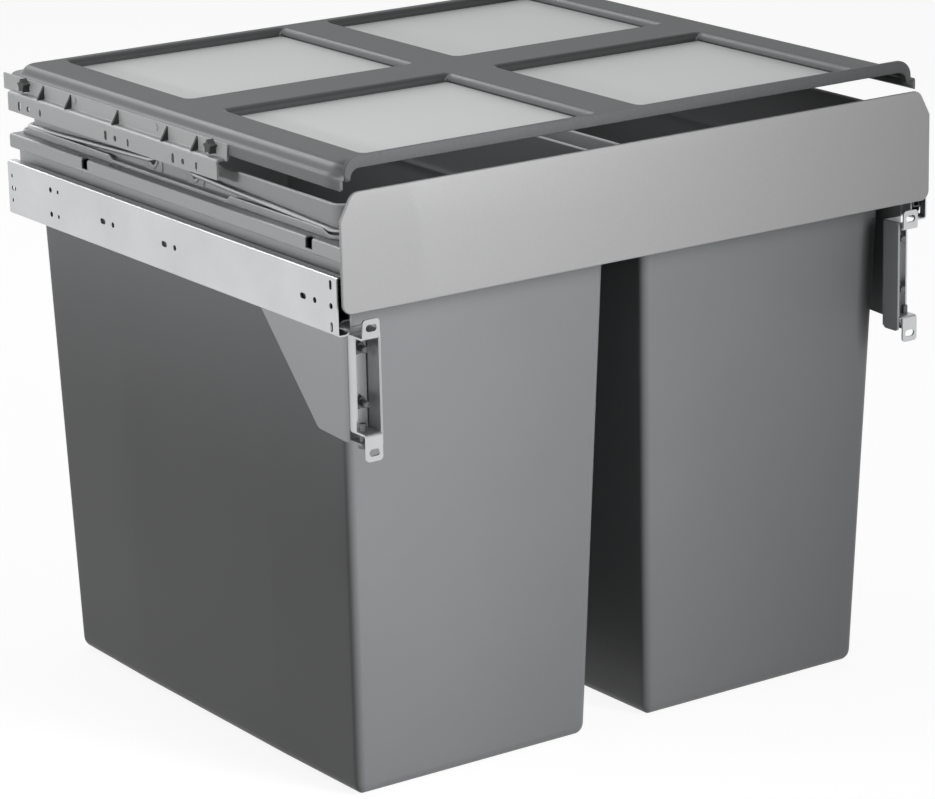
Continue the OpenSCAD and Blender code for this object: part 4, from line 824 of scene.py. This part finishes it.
# %% [markdown]
# ## The lid's front lip
# Along the open front the lid ends in a raised lip, an arch of constant thickness that comes down over the
# shoulders and stops on the ledge. A bevelled curve has one radius at a bend, but this arch has an outer
# edge with a wide shoulder and an inner one with a tighter one. So a section with rounded edges is carried
# along two arches with the same number of points.

# %% An arch with a rounded section
def arch(half, top, radius, foot, steps=13):
    """Right foot, quarter circle, straight top and quarter circle to the left foot, as x and z."""
    turn = np.linspace(0, np.pi / 2, steps)
    shoulder = np.stack([half - radius + radius * np.cos(turn), top - radius + radius * np.sin(turn)], 1)
    right = np.concatenate([[[half, foot]], shoulder, [[half / 2, top]]])
    return np.concatenate([right, right[::-1] * [-1, 1]])


LIP_FOOT = 69
LIP_OUT, LIP_IN = arch(270.5, 87, 13, LIP_FOOT), arch(265.5, 77.5, 8, LIP_FOOT)
# Rows of the section: 0 from the outer arch or 1 from the inner one, distance in from it, and depth.
LIP_ROWS = np.array([(0, 0.8, 5), (1, 0.8, 5), (1, 0.23, 5.23), (1, 0, 5.8), (1, 0, 8.2), (1, 0.23, 8.77),
                     (1, 0.8, 9), (0, 0.8, 9), (0, 0.23, 8.77), (0, 0, 8.2), (0, 0, 5.8), (0, 0.23, 5.23)])


def lip_points():
    """At each arch point the section lies on the line from the outer arch to the inner one, and along y."""
    across = LIP_IN - LIP_OUT
    across /= np.linalg.norm(across, axis=1, keepdims=True)
    from_inner, step, depth = LIP_ROWS.T
    outer = LIP_OUT[:, None] + across[:, None] * step[None, :, None]
    inner = LIP_IN[:, None] - across[:, None] * step[None, :, None]
    spot = np.where(from_inner[None, :, None] > 0, inner, outer)
    return metres(spot[..., 0], depth, spot[..., 1])


lip = tubes("lid_front_lip", [lip_points()])
finish_piece(lip, "cabinet_side", [LID_ABS])

# %% [markdown]
# ## Camera
# The camera stands in front of the left corner, a little above the lid, with a long lens, as in a catalogue
# picture. It could be placed by eye, but its place was found from the straight edges of the object: rails,
# panel and tub corners. It also leans a little over one degree, so its axes are written out and turned by
# that roll.

# %% Place the camera
AZIMUTH, ELEVATION, ROLL = np.radians([-34.47, 16.47, -1.295])
EYE = np.array([-1.7677, -2.57855, 1.1523])
FOCAL_PX, IMAGE_W = 3916.0, 935.0


def stand(made, right, up, back, place):
    """Links an object and sets its matrix, whose columns are its own three axes and its place."""
    pose = np.eye(4)
    pose[:3] = np.stack([right, up, back, place], 1)
    bpy.context.scene.collection.objects.link(made)
    made.matrix_world = pose.T.tolist()


level_out = np.array([math.sin(AZIMUTH), -math.cos(AZIMUTH), 0.0])
back = math.cos(ELEVATION) * level_out + np.array([0.0, 0.0, math.sin(ELEVATION)])
right = np.array([math.cos(AZIMUTH), math.sin(AZIMUTH), 0.0])
up = np.cross(back, right)
rolled_right = math.cos(ROLL) * right + math.sin(ROLL) * up
rolled_up = math.cos(ROLL) * up - math.sin(ROLL) * right
lens = bpy.data.cameras.new("photo_camera")
lens.sensor_fit = "HORIZONTAL"
lens.lens = FOCAL_PX * lens.sensor_width / IMAGE_W
camera = bpy.data.objects.new("photo_camera", lens)
stand(camera, rolled_right, rolled_up, back, EYE)
bpy.context.scene.camera = camera
print("lens", round(lens.lens, 2), "mm")

# %% [markdown]
# ## White cove
# A pack shot is lit by soft boxes in a white cove. Its light is bright near the horizon and dim overhead,
# where the studio's ceiling is, and dimmer from the front than from behind, which leaves the tops of round
# edges dark and their sides bright. Camera, glossy and transmission rays see it as plain white near the
# horizon, so metal shows the white cove too, while the light on the object stays at a plain level.

# %% The world
# Light by the height of a direction, for soft light and for what is seen, and its share from front to rear.
SOFT_LIGHT = {"From Min": 0.25, "From Max": 0.6, "To Min": 0.36, "To Max": 0.12}
SEEN_LIGHT = {"From Min": 0.45, "From Max": 0.8, "To Min": 1.0, "To Max": 0.25}
REAR_SHARE = {"From Min": -0.7, "From Max": 0.7, "To Min": 0.25, "To Max": 1.0}
world = bpy.data.worlds.new("white_cove")
bpy.context.scene.world = world
world.use_nodes = True
sky = world.node_tree
sky.nodes.clear()
rays = add(sky, "ShaderNodeLightPath").outputs
seen = add(sky, "ShaderNodeMath", links={0: rays["Is Camera Ray"], 1: rays["Is Glossy Ray"]},
           operation="MAXIMUM")
seen = add(sky, "ShaderNodeMath", links={0: seen.outputs[0], 1: rays["Is Transmission Ray"]},
           operation="MAXIMUM")
way = add(sky, "ShaderNodeTexCoord")
heading = add(sky, "ShaderNodeSeparateXYZ", links={"Vector": way.outputs["Generated"]}).outputs
soft = add(sky, "ShaderNodeMapRange", SOFT_LIGHT, {"Value": heading["Z"]})
clear = add(sky, "ShaderNodeMapRange", SEEN_LIGHT, {"Value": heading["Z"]})
rear = add(sky, "ShaderNodeMapRange", REAR_SHARE, {"Value": heading["Y"]})
dimmed = add(sky, "ShaderNodeMath", links={0: soft.outputs[0], 1: rear.outputs[0]}, operation="MULTIPLY")
level = add(sky, "ShaderNodeMapRange",
            links={"Value": seen.outputs[0], "To Min": dimmed.outputs[0], "To Max": clear.outputs[0]})
glow = add(sky, "ShaderNodeBackground", {"Color": (1, 1, 1, 1)}, {"Strength": level.outputs[0]})
add(sky, "ShaderNodeOutputWorld", links={"Surface": glow.outputs[0]})
print("world", world.name)

# %% [markdown]
# ## Floor
# The floor of the cove is a plain pale sheet. For the camera and for metal it is nearly white by itself and
# keeps the object's soft shadow. A white floor would also throw much light up under the tubs, which a pack
# shot avoids with dark cloth, so for light that bounces it is a matt dark grey.

# %% The floor under the tubs
FLOOR_DROP, FLOOR_HALF, FLOOR_SHINE = 0.0005, 9.0, 0.9


def floor_material():
    """Nearly white with its shadow for camera and glossy rays, matt dark grey for light that bounces."""
    material = bpy.data.materials.new("matt_white_floor")
    material.use_nodes = True
    tree = material.node_tree
    tree.nodes.clear()
    rays = add(tree, "ShaderNodeLightPath").outputs
    seen = add(tree, "ShaderNodeMath", links={0: rays["Is Camera Ray"], 1: rays["Is Glossy Ray"]},
               operation="MAXIMUM")
    matt = add(tree, "ShaderNodeBsdfDiffuse", {"Color": linear("#363636")})
    pale = add(tree, "ShaderNodeBsdfDiffuse", {"Color": linear("#7a7a7a")})
    shine = add(tree, "ShaderNodeEmission", {"Color": (1, 1, 1, 1), "Strength": FLOOR_SHINE})
    shown = add(tree, "ShaderNodeAddShader", links={0: pale.outputs[0], 1: shine.outputs[0]})
    mixed = add(tree, "ShaderNodeMixShader",
                links={"Fac": seen.outputs[0], 1: matt.outputs[0], 2: shown.outputs[0]})
    add(tree, "ShaderNodeOutputMaterial", links={"Surface": mixed.outputs[0]})
    return material


FLOOR_Z = CAD_BOX[0][2] - FLOOR_DROP
floor_corners = [(FLOOR_HALF * x, FLOOR_HALF * y, FLOOR_Z) for x, y in ((-1, -1), (1, -1), (1, 1), (-1, 1))]
floor_mesh = bpy.data.meshes.new("studio_floor")
floor_mesh.from_pydata(floor_corners, [], [(0, 1, 2, 3)])
floor = bpy.data.objects.new("studio_floor", floor_mesh)
bpy.context.scene.collection.objects.link(floor)
floor.data.materials.append(floor_material())
print("floor at", round(FLOOR_Z, 4))

# %% [markdown]
# ## Soft boxes
# A large box in front lights the panel and the tubs' fronts, one overhead lights the lid, and a strip behind
# gives the lid's edges their shine. A low strip at the left lights the slide, and a weak lamp under the lid
# stands for light that finds its way in between lid and tubs. Steel and satin paint would mirror the front
# box, the side strip and the fill as white patches, so these three light the object but aren't mirrored.

# %% Place the soft boxes
def soft_box(name, place, aim, size, power, spread=180, mirrored=True):
    """A rectangular lamp at place whose back axis points away from the aim; a grid in front narrows it."""
    lamp = bpy.data.lights.new(name, "AREA")
    lamp.shape = "RECTANGLE"
    lamp.size, lamp.size_y = size
    lamp.energy = power
    lamp.spread = math.radians(spread)
    away = np.asarray(place, float) - np.asarray(aim, float)
    away /= np.linalg.norm(away)
    side = np.cross([0.0, 0.0, 1.0], away) if abs(away[2]) < 0.99 else np.array([1.0, 0.0, 0.0])
    side /= np.linalg.norm(side)
    made = bpy.data.objects.new(name, lamp)
    made.visible_camera, made.visible_glossy = False, mirrored
    stand(made, side, np.cross(away, side), away, place)


soft_box("front_box", (0.32, -1.85, 0.85), (-0.56, -0.26, 0.41), (0.75, 1.1), 8.5, 64, mirrored=False)
soft_box("top_box", (0.2, 0.3, 2.6), (0, 0, 0.5), (2.0, 2.0), 14)
soft_box("rear_strip", (-0.35, 2.6, 2.4), (0, 0, 0.5), (1.6, 0.5), 20)
soft_box("side_strip", (-1.0, 0.0, 0.66), (-0.2, 0.0, 0.5), (0.9, 0.05), 0.42, 40, mirrored=False)
soft_box("under_lid_fill", (-0.02, 0.0, 0.489), (-0.02, 0.0, 0.2), (0.46, 0.4), 0.34, mirrored=False)
bpy.context.scene.view_settings.view_transform = "Standard"
